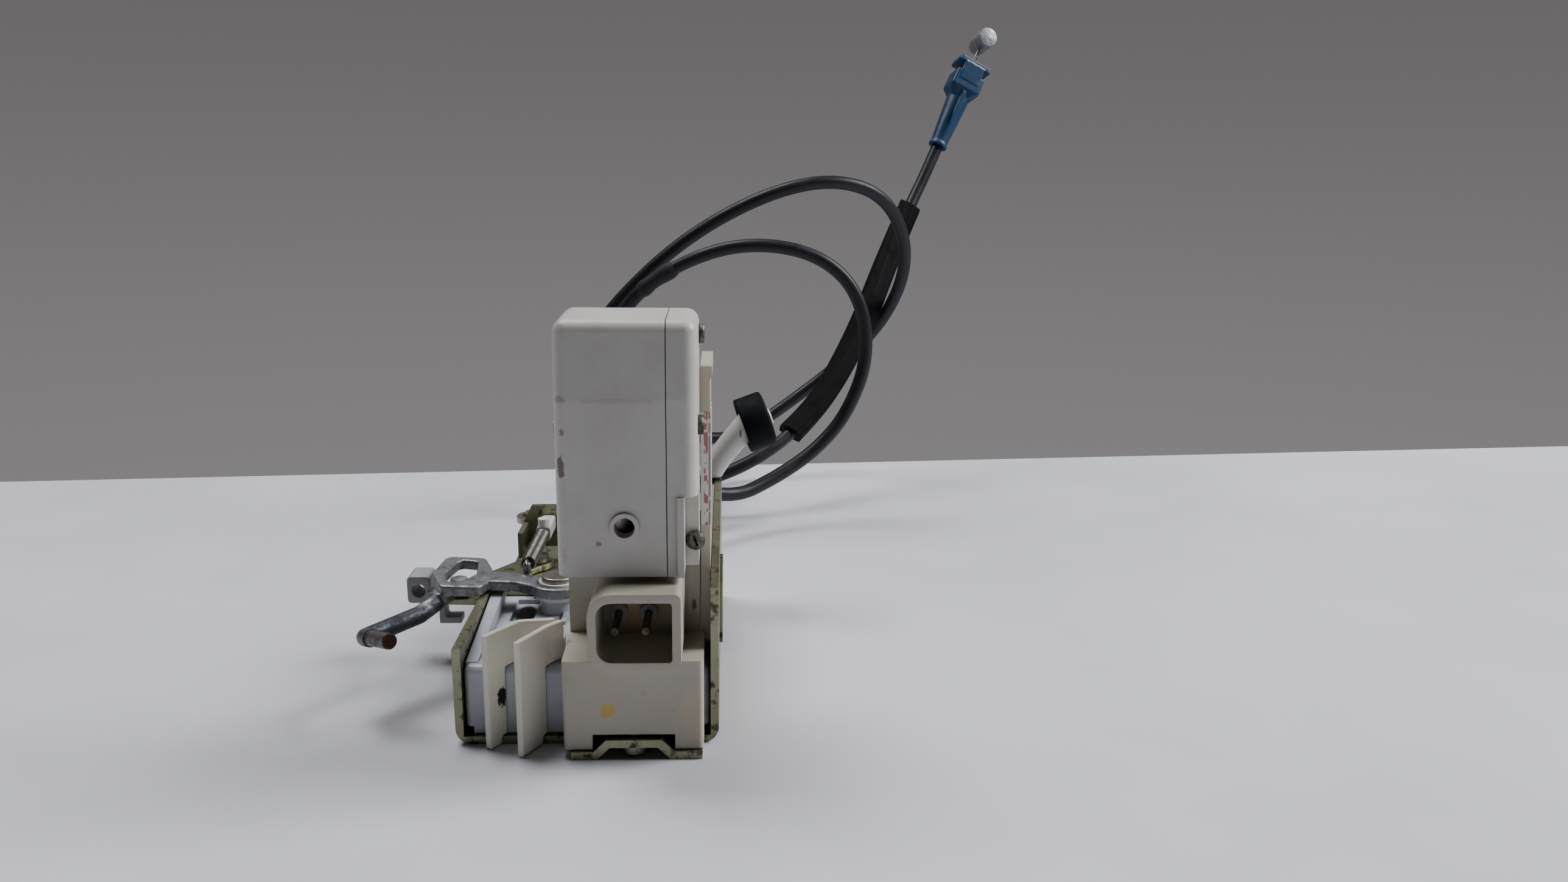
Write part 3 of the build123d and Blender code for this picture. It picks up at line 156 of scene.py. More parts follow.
class Surface:
    """A material in the making: layers of paint and relief over one shader, on Object coordinates."""

    def __init__(self, name: str, base: str, roughness: float) -> None:
        """Start a material.

        Args:
            name: Name of the material.
            base: Its main colour.
            roughness: Its main roughness.
        """
        self.material = bpy.data.materials.new(name)
        self.material.use_nodes = True
        self.tree = self.material.node_tree
        self.tree.nodes.clear()
        self.place = add(self.tree, "ShaderNodeTexCoord").outputs["Object"]
        self.colour: bpy.types.NodeSocket | str = base
        self.roughness: bpy.types.NodeSocket | float = roughness
        self.normal: bpy.types.NodeSocket | None = None

    def patches(self, size: float, low: float, high: float, seed: float = 0.0, detail: float = 4.0,
                stretch: Point = (1.0, 1.0, 1.0)) -> bpy.types.NodeSocket:
        """Make a mask of soft patches.

        Args:
            size: Size of the patches in millimetres.
            low: Noise value where the mask starts.
            high: Noise value where it is full.
            seed: Which pattern, of all patterns of that size.
            detail: Octaves of finer noise.
            stretch: How many times longer the patches are along each axis.

        Returns:
            The mask, from 0 to 1.
        """
        place = self.place
        if stretch != (1.0, 1.0, 1.0):
            shrink = tuple(1 / s for s in stretch)
            place = add(self.tree, "ShaderNodeMapping", None, {"Vector": place, "Scale": shrink}).outputs[0]
        noise = add(self.tree, "ShaderNodeTexNoise", {"noise_dimensions": "4D"},
                    {"Vector": place, "W": seed, "Scale": 1 / (size * MM), "Detail": detail,
                     "Roughness": 0.62})
        return self.between(noise.outputs[0], low, high)

    def between(self, value: bpy.types.NodeSocket, low: float, high: float) -> bpy.types.NodeSocket:
        """Turn a value into a mask that rises from low to high, or falls where high is the smaller."""
        return add(self.tree, "ShaderNodeMapRange", {"interpolation_type": "SMOOTHSTEP"},
                   {"Value": value, "From Min": low, "From Max": high}).outputs[0]

    def both(self, first: bpy.types.NodeSocket, second: bpy.types.NodeSocket | float) -> bpy.types.NodeSocket:
        """Keep a mask only where a second one allows it."""
        return add(self.tree, "ShaderNodeMath", {"operation": "MULTIPLY"}, {0: first, 1: second}).outputs[0]

    def worn_edges(self, radius: float, low: float, high: float) -> bpy.types.NodeSocket:
        """Make a mask of the edges that rubbing bares.

        Args:
            radius: Width of the worn edge in millimetres.
            low: Bend of the surface where the mask starts.
            high: Bend where it is full.

        Returns:
            The mask, from 0 to 1.
        """
        bevel = add(self.tree, "ShaderNodeBevel", {"samples": 4}, {"Radius": radius * MM})
        true = add(self.tree, "ShaderNodeNewGeometry")
        facing = add(self.tree, "ShaderNodeVectorMath", {"operation": "DOT_PRODUCT"},
                     {0: bevel.outputs[0], 1: true.outputs["Normal"]})
        return self.between(facing.outputs["Value"], 1 - low, 1 - high)

    def occlusion_shade(self, reach: float, low: float, high: float) -> bpy.types.NodeSocket:
        """Make a mask from ambient occlusion of the corners and gaps, for painted shade there.

        Args:
            reach: How far away a neighbouring wall still counts, in millimetres.
            low: Openness where the mask starts.
            high: Openness where it is full.

        Returns:
            The mask, from 0 to 1.
        """
        shade = add(self.tree, "ShaderNodeAmbientOcclusion", {"samples": 4}, {"Distance": reach * MM})
        return self.between(shade.outputs["AO"], low, high)

    def spot(self, mark: Mark) -> bpy.types.NodeSocket:
        """Make the mask of one local mark."""
        moved = add(self.tree, "ShaderNodeVectorMath", {"operation": "SUBTRACT"},
                    {0: self.place, 1: tuple(c * MM for c in mark.place)})
        scaled = add(self.tree, "ShaderNodeVectorMath", {"operation": "DIVIDE"},
                     {0: moved.outputs[0], 1: tuple(mark.radius * s * MM for s in mark.stretch)})
        reach = add(self.tree, "ShaderNodeVectorMath", {"operation": "LENGTH"}, {0: scaled.outputs[0]})
        noise = add(self.tree, "ShaderNodeTexNoise", None,
                    {"Vector": self.place, "Scale": 1 / (0.6 * mark.radius * MM), "Detail": 5.0})
        ragged = add(self.tree, "ShaderNodeMath", {"operation": "MULTIPLY_ADD"},
                     {0: noise.outputs[0], 1: 2 * mark.ragged, 2: reach.outputs["Value"]})
        edge = 1 + mark.ragged
        return self.both(self.between(ragged.outputs[0], edge, edge - 0.35), mark.strength)

    def paint(self, colour: str, mask: bpy.types.NodeSocket, strength: float = 1.0) -> None:
        """Lay a colour over the surface where a mask allows it."""
        amount = mask if strength == 1.0 else self.both(mask, strength)
        mixed = add(self.tree, "ShaderNodeMix", {"data_type": "RGBA"},
                    {"Factor": amount, 6: self.colour, 7: colour})
        self.colour = mixed.outputs[2]

    def shine(self, roughness: float, mask: bpy.types.NodeSocket) -> None:
        """Change the roughness where a mask allows it."""
        mixed = add(self.tree, "ShaderNodeMix", None, {"Factor": mask, 2: self.roughness, 3: roughness})
        self.roughness = mixed.outputs[0]

    def soften(self, radius: float) -> None:
        """Round the edges for the eye, by a radius in millimetres."""
        self.normal = add(self.tree, "ShaderNodeBevel", {"samples": 4}, {"Radius": radius * MM}).outputs[0]

    def relief(self, height: bpy.types.NodeSocket, depth: float) -> None:
        """Add relief whose depth is in millimetres."""
        inputs = {"Height": height, "Distance": depth * MM, "Strength": 1.0}
        if self.normal is not None:
            inputs["Normal"] = self.normal
        self.normal = add(self.tree, "ShaderNodeBump", None, inputs).outputs[0]

    def done(self, **shader: float | str) -> bpy.types.Material:
        """Close the material.

        Args:
            **shader: Values for the shader's other inputs, with underscores for spaces.

        Returns:
            The finished material.
        """
        inputs = {"Base Color": self.colour, "Roughness": self.roughness}
        inputs |= {name.replace("_", " "): value for name, value in shader.items()}
        if self.normal is not None:
            inputs["Normal"] = self.normal
        body = add(self.tree, "ShaderNodeBsdfPrincipled", {"subsurface_method": "RANDOM_WALK"}, inputs)
        add(self.tree, "ShaderNodeOutputMaterial", None, {"Surface": body.outputs[0]})
        return self.material


@dataclass(frozen=True)
class Moulded:
    """Injection-moulded plastic that has spent years inside a door: satin, faintly mottled and grimy, with
    painted shade in its corners and gaps.
    """

    name: str
    base: str
    shade: str
    dirt_and_shade: str = "#6f6559"
    grime_and_shade: float = 0.5
    roughness: float = 0.42
    depth: float = 0.0
    ior: float = 1.5
    rounding: float = 0.3
    sheen_size: float = 9.0
    marks: tuple[Mark, ...] = ()

    def material(self) -> bpy.types.Material:
        """Build the material."""
        surface = Surface(self.name, self.base, self.roughness)
        surface.soften(self.rounding)
        surface.paint(self.shade, surface.patches(self.sheen_size, 0.35, 0.75, 1.3))
        film = surface.patches(14.0, 0.48, 0.78, 4.1, 6.0)
        surface.paint(self.dirt_and_shade, film, 0.28 * self.grime_and_shade)
        specks = surface.patches(1.7, 0.69, 0.76, 7.7, 2.0)
        surface.paint(self.dirt_and_shade, surface.both(specks, surface.patches(11.0, 0.45, 0.6, 2.2)),
                      0.8 * self.grime_and_shade)
        # Painted shade: the soiled colour darkens corners and gaps found by ambient occlusion, broken into
        # patches
        corners = surface.occlusion_shade(2.2, 0.62, 0.25)
        surface.paint(self.dirt_and_shade, surface.both(corners, surface.patches(4.0, 0.25, 0.6, 3.3)),
                      0.85 * self.grime_and_shade)
        rubbed = surface.both(surface.worn_edges(0.7, 0.03, 0.25), surface.patches(3.0, 0.5, 0.62, 9.1))
        surface.paint(self.dirt_and_shade, rubbed, 0.5 * self.grime_and_shade)
        for mark in self.marks:
            surface.paint(mark.colour, surface.spot(mark))
        surface.shine(self.roughness + 0.2, film)
        # Spark-eroded tool texture of about 0.35 mm and shallow sink marks
        surface.relief(surface.patches(0.35, 0.2, 0.8, 5.0, 2.0), 0.012)
        surface.relief(surface.patches(7.0, 0.2, 0.8, 6.0, 1.0), 0.05)
        return surface.done(IOR=self.ior, Subsurface_Weight=self.depth, Subsurface_Scale=1.5 * MM)


@dataclass(frozen=True)
class Chromated:
    """Zinc-plated, yellow-chromated sheet steel: olive gold with brown grease and bare sheared edges, and
    painted shade in its corners and gaps.
    """

    name: str
    plate: str = "#949177"
    tint: str = "#868b6c"
    grease: str = "#2a2520"
    bare: str = "#a9a6a0"

    def material(self) -> bpy.types.Material:
        """Build the material."""
        surface = Surface(self.name, self.plate, 0.36)
        surface.soften(0.25)
        surface.paint(self.tint, surface.patches(6.0, 0.4, 0.62, 1.0))
        surface.paint("#a08a5a", surface.patches(4.0, 0.56, 0.72, 2.0), 0.6)
        edges = surface.both(surface.worn_edges(0.5, 0.02, 0.2), surface.patches(1.6, 0.38, 0.56, 3.0))
        surface.paint(self.bare, edges, 0.85)
        grease = surface.patches(3.2, 0.53, 0.64, 4.0, 6.0)
        surface.paint(self.grease, grease, 0.82)
        # Painted shade: the grease colour also darkens corners and gaps found by ambient occlusion
        surface.paint(self.grease, surface.occlusion_shade(3.0, 0.6, 0.2), 0.75)
        surface.shine(0.62, grease)
        scratches = surface.patches(0.5, 0.6, 0.72, 5.0, 1.0, (1.0, 14.0, 1.0))
        surface.paint(self.bare, scratches, 0.35)
        surface.relief(grease, 0.04)
        surface.relief(surface.patches(0.8, 0.2, 0.8, 6.0), 0.015)
        return surface.done(Metallic=0.82)


@dataclass(frozen=True)
class DieCast:
    """Zinc die casting, dulled and mottled: grey with pale flow marks and dark pits, and painted shade in its
    corners and gaps.
    """

    name: str
    base: str = "#8d8e90"
    dark: str = "#3b3b3e"
    pale: str = "#c3c5c8"
    darkening: float = 0.7
    marks: tuple[Mark, ...] = ()

    def material(self) -> bpy.types.Material:
        """Build the material."""
        surface = Surface(self.name, self.base, 0.45)
        stains = surface.patches(3.4, 0.42, 0.66, 1.0, 7.0)
        surface.paint(self.dark, stains, self.darkening)
        surface.paint(self.pale, surface.patches(1.1, 0.58, 0.7, 2.0, 5.0), 0.5)
        surface.paint(self.pale, surface.worn_edges(0.6, 0.05, 0.3), 0.35)
        for mark in self.marks:
            surface.paint(mark.colour, surface.spot(mark))
        # Painted shade: the dark colour darkens corners and gaps found by ambient occlusion
        surface.paint(self.dark, surface.occlusion_shade(2.0, 0.6, 0.25), 0.6)
        surface.shine(0.66, stains)
        # Casting skin with grains of half a millimetre and hammered flow marks of 2 mm
        surface.relief(surface.patches(0.5, 0.2, 0.8, 3.0, 3.0), 0.03)
        surface.relief(surface.patches(2.0, 0.25, 0.75, 4.0, 2.0), 0.1)
        return surface.done(Metallic=0.85)


@dataclass(frozen=True)
class BareMetal:
    """Drawn or turned metal: spring wire, pins, rivets and terminals, with a film of oil and painted shade in
    its corners and gaps.
    """

    name: str
    base: str
    film: str
    roughness: float = 0.28
    amount: float = 0.5

    def material(self) -> bpy.types.Material:
        """Build the material."""
        surface = Surface(self.name, self.base, self.roughness)
        film = surface.patches(1.8, 0.42, 0.66, 1.0)
        surface.paint(self.film, film, self.amount)
        # Painted shade: near-black darkens corners and gaps found by ambient occlusion
        surface.paint("#1f1c19", surface.occlusion_shade(1.0, 0.5, 0.15), 0.5)
        surface.shine(self.roughness + 0.22, film)
        surface.relief(surface.patches(0.3, 0.2, 0.8, 2.0, 2.0), 0.008)
        return surface.done(Metallic=1.0)


@dataclass(frozen=True)
class Elastomer:
    """Extruded or moulded dark polymer: cable sheath, sleeve rubber and cap, dusty in patches."""

    name: str
    base: str
    dust: str = "#5a5a60"
    roughness: float = 0.4
    dusting: float = 0.3
    ior: float = 1.5

    def material(self) -> bpy.types.Material:
        """Build the material."""
        surface = Surface(self.name, self.base, self.roughness)
        dust = surface.patches(8.0, 0.46, 0.72, 1.0, 6.0)
        surface.paint(self.dust, dust, self.dusting)
        scuffs = surface.patches(1.2, 0.64, 0.74, 2.0, 3.0)
        surface.paint(self.dust, scuffs, self.dusting + 0.25)
        surface.shine(self.roughness + 0.2, dust)
        surface.relief(surface.patches(0.4, 0.2, 0.8, 3.0, 2.0), 0.005)
        surface.relief(surface.patches(2.6, 0.2, 0.8, 4.0, 2.0), 0.02)
        return surface.done(IOR=self.ior)


@dataclass(frozen=True)
class PrintedPaper:
    """A paper label with plain bars: red and grey columns broken into dashes, on aged paper."""

    name: str
    pitch: float = 2.6
    across: str = "Y"

    def material(self) -> bpy.types.Material:
        """Build the material."""
        surface = Surface(self.name, "#d8d3cc", 0.55)
        split = add(surface.tree, "ShaderNodeSeparateXYZ", None, {0: surface.place})
        for number, (ink, share) in enumerate((("#9a3b45", 0.62), ("#77757a", 0.5))):
            across = add(surface.tree, "ShaderNodeMath", {"operation": "PINGPONG"},
                         {0: split.outputs[self.across], 1: self.pitch * (1 + 0.27 * number) * MM})
            column = surface.between(across.outputs[0], 0.45 * self.pitch * MM, 0.3 * self.pitch * MM)
            dashes = surface.patches(1.4, share - 0.16, share - 0.1, 1.0 + number, 1.0, (1.0, 0.6, 1.6))
            surface.paint(ink, surface.both(column, dashes), 0.85)
        surface.paint("#8d857b", surface.patches(5.0, 0.5, 0.8, 5.0), 0.4)
        surface.relief(surface.patches(1.0, 0.2, 0.8, 6.0), 0.01)
        return surface.done(IOR=1.45)


@dataclass(frozen=True)
class Laminate:
    """Pale laminate of a table top: matt, with faint scuffs and hairline scratches."""

    name: str = "laminate_table_top"

    def material(self) -> bpy.types.Material:
        """Build the material."""
        surface = Surface(self.name, "#d6d6db", 0.5)
        surface.paint("#c9c9d0", surface.patches(160.0, 0.35, 0.7, 1.0, 3.0))
        surface.paint("#b9b9c0", surface.patches(9.0, 0.7, 0.78, 2.0, 3.0), 0.5)
        surface.relief(surface.patches(2.0, 0.2, 0.8, 3.0, 2.0), 0.01)
        return surface.done(IOR=1.45)


@dataclass(frozen=True)
class Finishes:
    """Every finish of the lock, made once."""

    abs_case: Moulded = Moulded(
        "moulded_abs_offwhite", "#c6c3bd", "#bfbbb3", "#7d7166", 0.4, 0.38, 0.1, 1.54,
        marks=(
            Mark((-3.6, -57.6, 71.5), 1.7, "#5f5247", 0.7, (0.7, 1.0, 1.6)),
            Mark((-3.6, -57.8, 87.0), 1.6, "#8f7c6f", 0.9, (1.0, 1.0, 0.6), 0.5),
            Mark((8.0, -57.8, 86.6), 5.0, "#a48f84", 0.9, (2.0, 1.0, 0.14), 0.35),
            Mark((-3.0, -57.8, 79.5), 0.8, "#6f6054", 0.8, (0.8, 1.0, 1.3), 0.7),
            Mark((-3.4, -57.8, 50.5), 1.0, "#a89b8f", 0.8, (1.0, 1.0, 1.6), 0.4),
            Mark((4.6, -57.8, 53.5), 0.8, "#857868", 0.5),
        ))
    pbt_ivory: Moulded = Moulded(
        "moulded_pbt_ivory", "#b7b2a5", "#b5ad9a", "#6d614c", 0.5, 0.42, 0.25, 1.55,
        marks=(
            Mark((5.5, -57.6, 12.2), 2.1, "#c9a83a", 0.5, (1.0, 1.0, 1.0), 0.85),
            Mark((25.6, -39.1, 31.5), 1.0, "#3a3029", 0.6, (0.6, 1.0, 1.6)),
            Mark((14.2, -57.6, 16.5), 1.1, "#9c948a", 0.5, (1.0, 1.0, 0.8), 0.35),
            Mark((26.5, -57.6, 11.0), 5.0, "#d9c39a", 0.7, (1.0, 1.0, 1.6), 0.3),
            Mark((12.85, -50.0, 35.0), 9.6, "#c9ab6e", 0.2, (0.95, 1.3, 0.75), 0.65),
        ))
    nylon_case: Moulded = Moulded(
        "moulded_nylon_natural", "#b6bac0", "#a9aeb6", "#5c5c5e", 0.7, 0.32, 0.35, 1.53, 0.3,
        marks=(Mark((-20.2, -11.8, 18.4), 9.0, "#101115", 0.0, (0.36, 0.87, 0.15), 1.0),))
    flap_nylon: Moulded = Moulded(
        "soft_polyethylene_flap", "#e6e6da", "#ececdf", "#6a6455", 0.4, 0.4, 0.45, 1.52, 0.25,
        marks=(Mark((-20.3, -49.9, 12.4), 2.2, "#17120f", 0.85, (0.8, 0.8, 1.4), 1.0),
               Mark((-9.9, -47.6, 4.4), 0.9, "#4a423a", 0.6),))
    white_nylon: Moulded = Moulded(
        "moulded_nylon_white", "#dcddd9", "#cfd0cb", "#7a746b", 0.5, 0.3, 0.2, 1.53,
        marks=(Mark((37.6, 43.4, 54.8), 0.9, "#4d4b48", 0.5, (0.4, 1.0, 1.6)),))
    grey_nylon: Moulded = Moulded(
        "moulded_nylon_grey", "#9b9c9e", "#8c8d90", "#47443f", 0.7, 0.42, 0.05, 1.53)
    black_plastic: Moulded = Moulded(
        "moulded_nylon_black", "#26262a", "#2f2f33", "#5a544d", 0.5, 0.45)
    gear_acetal: Moulded = Moulded(
        "machined_acetal_natural", "#d9d6ca", "#cfcbbd", "#7b6f52", 0.4, 0.35, 0.15, 1.48)
    blue_acetal: Moulded = Moulded(
        "moulded_acetal_blue", "#08395c", "#073250", "#26343e", 0.45, 0.36, 0.04, 1.48, 0.2)
    chromate: Chromated = Chromated("zinc_chromated_steel")
    casting: DieCast = DieCast(
        "zinc_die_casting",
        marks=(Mark((-51.5, -26.0, 21.0), 10.0, "#33353e", 0.4, (1.2, 1.2, 0.6), 0.85),
               Mark((-43.5, -15.0, 22.5), 4.0, "#3b3d4a", 0.5, (1.0, 1.0, 1.0), 0.8)))
    nipple_casting: DieCast = DieCast("zinc_die_cast_barrel", "#a3a4a6", "#5a5a5d", "#d2d3d4", 0.6)
    spring_steel: BareMetal = BareMetal("drawn_spring_steel", "#8d8b87", "#4d4840", 0.3, 0.4)
    turned_steel: BareMetal = BareMetal("turned_steel_oiled", "#9a968e", "#3d382f", 0.35, 0.6)
    grimy_steel: BareMetal = BareMetal("steel_screw_grimy", "#77736b", "#2f2c28", 0.5, 0.8)
    brass: BareMetal = BareMetal("tinned_brass_terminal", "#6a6457", "#3f3828", 0.55, 0.6)
    rusty_pin: DieCast = DieCast(
        "rusted_steel_pin", "#6d6a6a", "#35302e", "#8d8b8b", 0.7,
        marks=(Mark((-48.4, -41.2, 23.0), 2.2, "#4a2a1d", 0.4, (1.0, 1.0, 1.0)),))
    sheath: Elastomer = Elastomer("extruded_polyamide_sheath", "#1c1c21", "#33333a", 0.42, 0.25, 1.36)
    rubber: Elastomer = Elastomer("moulded_epdm_rubber", "#08080a", "#2c2a28", 0.72, 0.1, 1.22)
    cap_rubber: Elastomer = Elastomer("moulded_nitrile_rubber", "#0a0c10", "#1b1e25", 0.6, 0.2, 1.2)
    tape: Elastomer = Elastomer("cloth_tape_tarred", "#17171a", "#3f3d3b", 0.75, 0.4)
    paper: PrintedPaper = PrintedPaper("printed_paper_plain_bars")
    paper_fold: PrintedPaper = PrintedPaper("printed_paper_folded_edge", 1.3, "X")


class Wardrobe:
    """Builds each finish once and dresses CAD nodes and pieces with it."""

    def __init__(self, nodes: dict[str, bpy.types.Object]) -> None:
        """Keep the frame's nodes.

        Args:
            nodes: CAD nodes by name.
        """
        self.nodes = nodes
        self.finishes = Finishes()
        self.made: dict[str, bpy.types.Material] = {}

    def material(self, finish: str) -> bpy.types.Material:
        """Return the material of a finish, built on its first use."""
        if finish not in self.made:
            self.made[finish] = getattr(self.finishes, finish).material()
        return self.made[finish]

    def dress(self, finish: str, *names: str) -> None:
        """Give CAD nodes a finish.

        Args:
            finish: Field of Finishes.
            *names: CAD nodes that wear it.
        """
        for name in names:
            node = self.nodes[name]
            if not node.material_slots:
                node.data.materials.append(None)
            for place in node.material_slots:
                place.material = self.material(finish)
            log.info("%s wears %s", name, finish)


# Meshes


def piece(name: str, shape: Shape, material: bpy.types.Material, smooth: float = 35.0) -> bpy.types.Object:
    """Make a mesh object at the origin.

    Args:
        name: Name of the piece.
        shape: Its points in metres and its faces.
        material: Its finish.
        smooth: Largest angle in degrees between faces that are shaded as one.

    Returns:
        The new object.
    """
    mesh = bpy.data.meshes.new(name)
    mesh.from_pydata([tuple(p) for p in shape[0]], [], shape[1])
    mesh.materials.append(material)
    mesh.update()
    made = bpy.data.objects.new(name, mesh)
    bpy.context.collection.objects.link(made)
    mesh.shade_smooth()
    mesh.set_sharp_from_angle(angle=math.radians(smooth))
    return made


def joined(*shapes: Shape) -> Shape:
    """Put several shapes into one."""
    points: list[Vector] = []
    faces: Faces = []
    for more, sides in shapes:
        faces += [tuple(index + len(points) for index in side) for side in sides]
        points += more
    return points, faces


def skinned(rings: Sequence[Sequence[Vector]]) -> Shape:
    """Close a shape over rings of equal count, with a cap at each end."""
    count = len(rings[0])
    points = [point for ring in rings for point in ring]
    faces: Faces = [tuple(reversed(range(count)))]
    for row in range(len(rings) - 1):
        for k in range(count):
            here, after = row * count + k, row * count + (k + 1) % count
            faces.append((here, after, after + count, here + count))
    faces.append(tuple(range(len(points) - count, len(points))))
    return points, faces


def tube(path: Sequence[Vector], radii: Sequence[float], sides: int = 20) -> Shape:
    """Run a round section along a path.

    Args:
        path: Points of the centre line.
        radii: Radius at each point.
        sides: Corners of the section.

    Returns:
        The closed tube.
    """
    rings = []
    across = Vector((0.31, 0.17, 0.93))
    for index, point in enumerate(path):
        along = (path[min(index + 1, len(path) - 1)] - path[max(index - 1, 0)]).normalized()
        across = (across - along * across.dot(along)).normalized()
        up = along.cross(across)
        turns = [2 * math.pi * k / sides for k in range(sides)]
        rings.append([point + (across * math.cos(t) + up * math.sin(t)) * radii[index] for t in turns])
    return skinned(rings)


def turned(profile: Sequence[tuple[float, float]], sides: int = 48) -> Shape:
    """Turn a closed profile of radius and height, in millimetres, about the Z axis."""
    points: list[Vector] = []
    faces: Faces = []
    count = len(profile)
    for k in range(sides):
        angle = 2 * math.pi * k / sides
        points += [Vector((r * math.cos(angle), r * math.sin(angle), z)) * MM for r, z in profile]
    for k in range(sides):
        for j in range(count):
            here, after = k * count, (k + 1) % sides * count
            following = (j + 1) % count
            faces.append((here + j, after + j, after + following, here + following))
    return points, faces


def slab(stations: Sequence[tuple[float, float, float, float]],
         offset: tuple[float, float] = (0.0, 0.0)) -> Shape:
    """Run a rounded rectangle along Z.

    Args:
        stations: Height, width, depth and corner radius of each section, in millimetres.
        offset: Place of the section's centre, in millimetres.

    Returns:
        The closed shape.
    """
    rings = []
    for height, width, depth, radius in stations:
        ring = []
        for quarter, (sx, sy) in enumerate(((1, 1), (-1, 1), (-1, -1), (1, -1))):
            for step in range(4):
                angle = math.pi / 2 * (quarter + step / 3)
                x = sx * (width / 2 - radius) + radius * math.cos(angle) + offset[0]
                y = sy * (depth / 2 - radius) + radius * math.sin(angle) + offset[1]
                ring.append(Vector((x, y, height)) * MM)
        rings.append(ring)
    return skinned(rings)


def seat(origin: Vector, along: Vector, across: Vector) -> Matrix:
    """Return the frame whose Z runs along one direction and whose X leans towards another."""
    z = along.normalized()
    x = (across - z * across.dot(z)).normalized()
    turn = Matrix((x, z.cross(x), z)).transposed().to_4x4()
    return Matrix.Translation(origin) @ turn


def set_in(shape: Shape, frame: Matrix) -> Shape:
    """Place a shape in the row frame."""
    return [frame @ point for point in shape[0]], shape[1]


def plain(source: bpy.types.Object, name: str) -> bpy.types.Object:
    """Turn an object with modifiers into a plain mesh piece, and remove the source."""
    bpy.context.view_layer.update()
    graph = bpy.context.evaluated_depsgraph_get()
    mesh = bpy.data.meshes.new_from_object(source.evaluated_get(graph))
    mesh.name = name
    bpy.data.objects.remove(source)
    made = bpy.data.objects.new(name, mesh)
    bpy.context.collection.objects.link(made)
    return made


def fused(name: str, shape: Shape, material: bpy.types.Material, voxel: float,
          rounds: int) -> bpy.types.Object:
    """Fuse overlapping closed shapes into one soft-edged casting or moulding.

    Args:
        name: Name of the piece.
        shape: The shapes to fuse.
        material: Its finish.
        voxel: Size of the remesh in millimetres.
        rounds: Smoothing steps.

    Returns:
        The finished piece.
    """
    source = piece(name + "_source", shape, material)
    remesh = source.modifiers.new("fuse", "REMESH")
    remesh.mode = "VOXEL"
    remesh.voxel_size = voxel * MM
    remesh.use_smooth_shade = True
    smooth = source.modifiers.new("soften", "SMOOTH")
    smooth.iterations = rounds
    smooth.factor = 0.5
    made = plain(source, name)
    made.data.materials.clear()
    made.data.materials.append(material)
    return made


def cad_shape(node: bpy.types.Object) -> Shape:
    """Copy the points and faces of a CAD node, welding its loose triangles."""
    welded: dict[tuple[float, float, float], int] = {}
    points: list[Vector] = []
    index_of: list[int] = []
    for vertex in node.data.vertices:
        key = tuple(round(c, 7) for c in vertex.co)
        if key not in welded:
            welded[key] = len(points)
            points.append(vertex.co.copy())
        index_of.append(welded[key])
    faces = [tuple(index_of[v] for v in side.vertices) for side in node.data.polygons]
    return points, [side for side in faces if len(set(side)) == len(side)]


class Generator:
    """A Geometry Nodes tree with named sizes that ends in a plain mesh piece."""

    def __init__(self, name: str, sizes: dict[str, float]) -> None:
        """Start a tree.

        Args:
            name: Name of the tree and of the piece.
            sizes: Named inputs with their values, lengths in metres.
        """
        self.name = name
        self.sizes = sizes
        self.tree = bpy.data.node_groups.new(name, "GeometryNodeTree")
        self.tree.interface.new_socket("Geometry", in_out="INPUT", socket_type="NodeSocketGeometry")
        self.tree.interface.new_socket("Geometry", in_out="OUTPUT", socket_type="NodeSocketGeometry")
        self.keys = {}
        for label in sizes:
            socket = self.tree.interface.new_socket(label, in_out="INPUT", socket_type="NodeSocketFloat")
            self.keys[label] = socket.identifier
        self.given = add(self.tree, "NodeGroupInput")

    def size(self, label: str) -> bpy.types.NodeSocket:
        """Return the socket of a named size."""
        return self.given.outputs[label]

    def piece(self, geometry: bpy.types.NodeSocket, material: bpy.types.Material,
              source: Shape = ([Vector()], [])) -> bpy.types.Object:
        """Close the tree and make its mesh.

        Args:
            geometry: The last geometry of the tree.
            material: Finish of the piece.
            source: Mesh that the tree reads, if any.

        Returns:
            The plain mesh piece, still in the tree's own frame.
        """
        real = add(self.tree, "GeometryNodeRealizeInstances", None, {0: geometry})
        smooth = add(self.tree, "GeometryNodeSetShadeSmooth", None, {0: real.outputs[0]})
        painted = add(self.tree, "GeometryNodeSetMaterial", None,
                      {0: smooth.outputs[0], "Material": material})
        add(self.tree, "NodeGroupOutput", None, {0: painted.outputs[0]})
        carrier = piece(self.name + "_source", source, material)
        modifier = carrier.modifiers.new("generate", "NODES")
        modifier.node_group = self.tree
        for label, value in self.sizes.items():
            modifier[self.keys[label]] = value
        return plain(carrier, self.name)


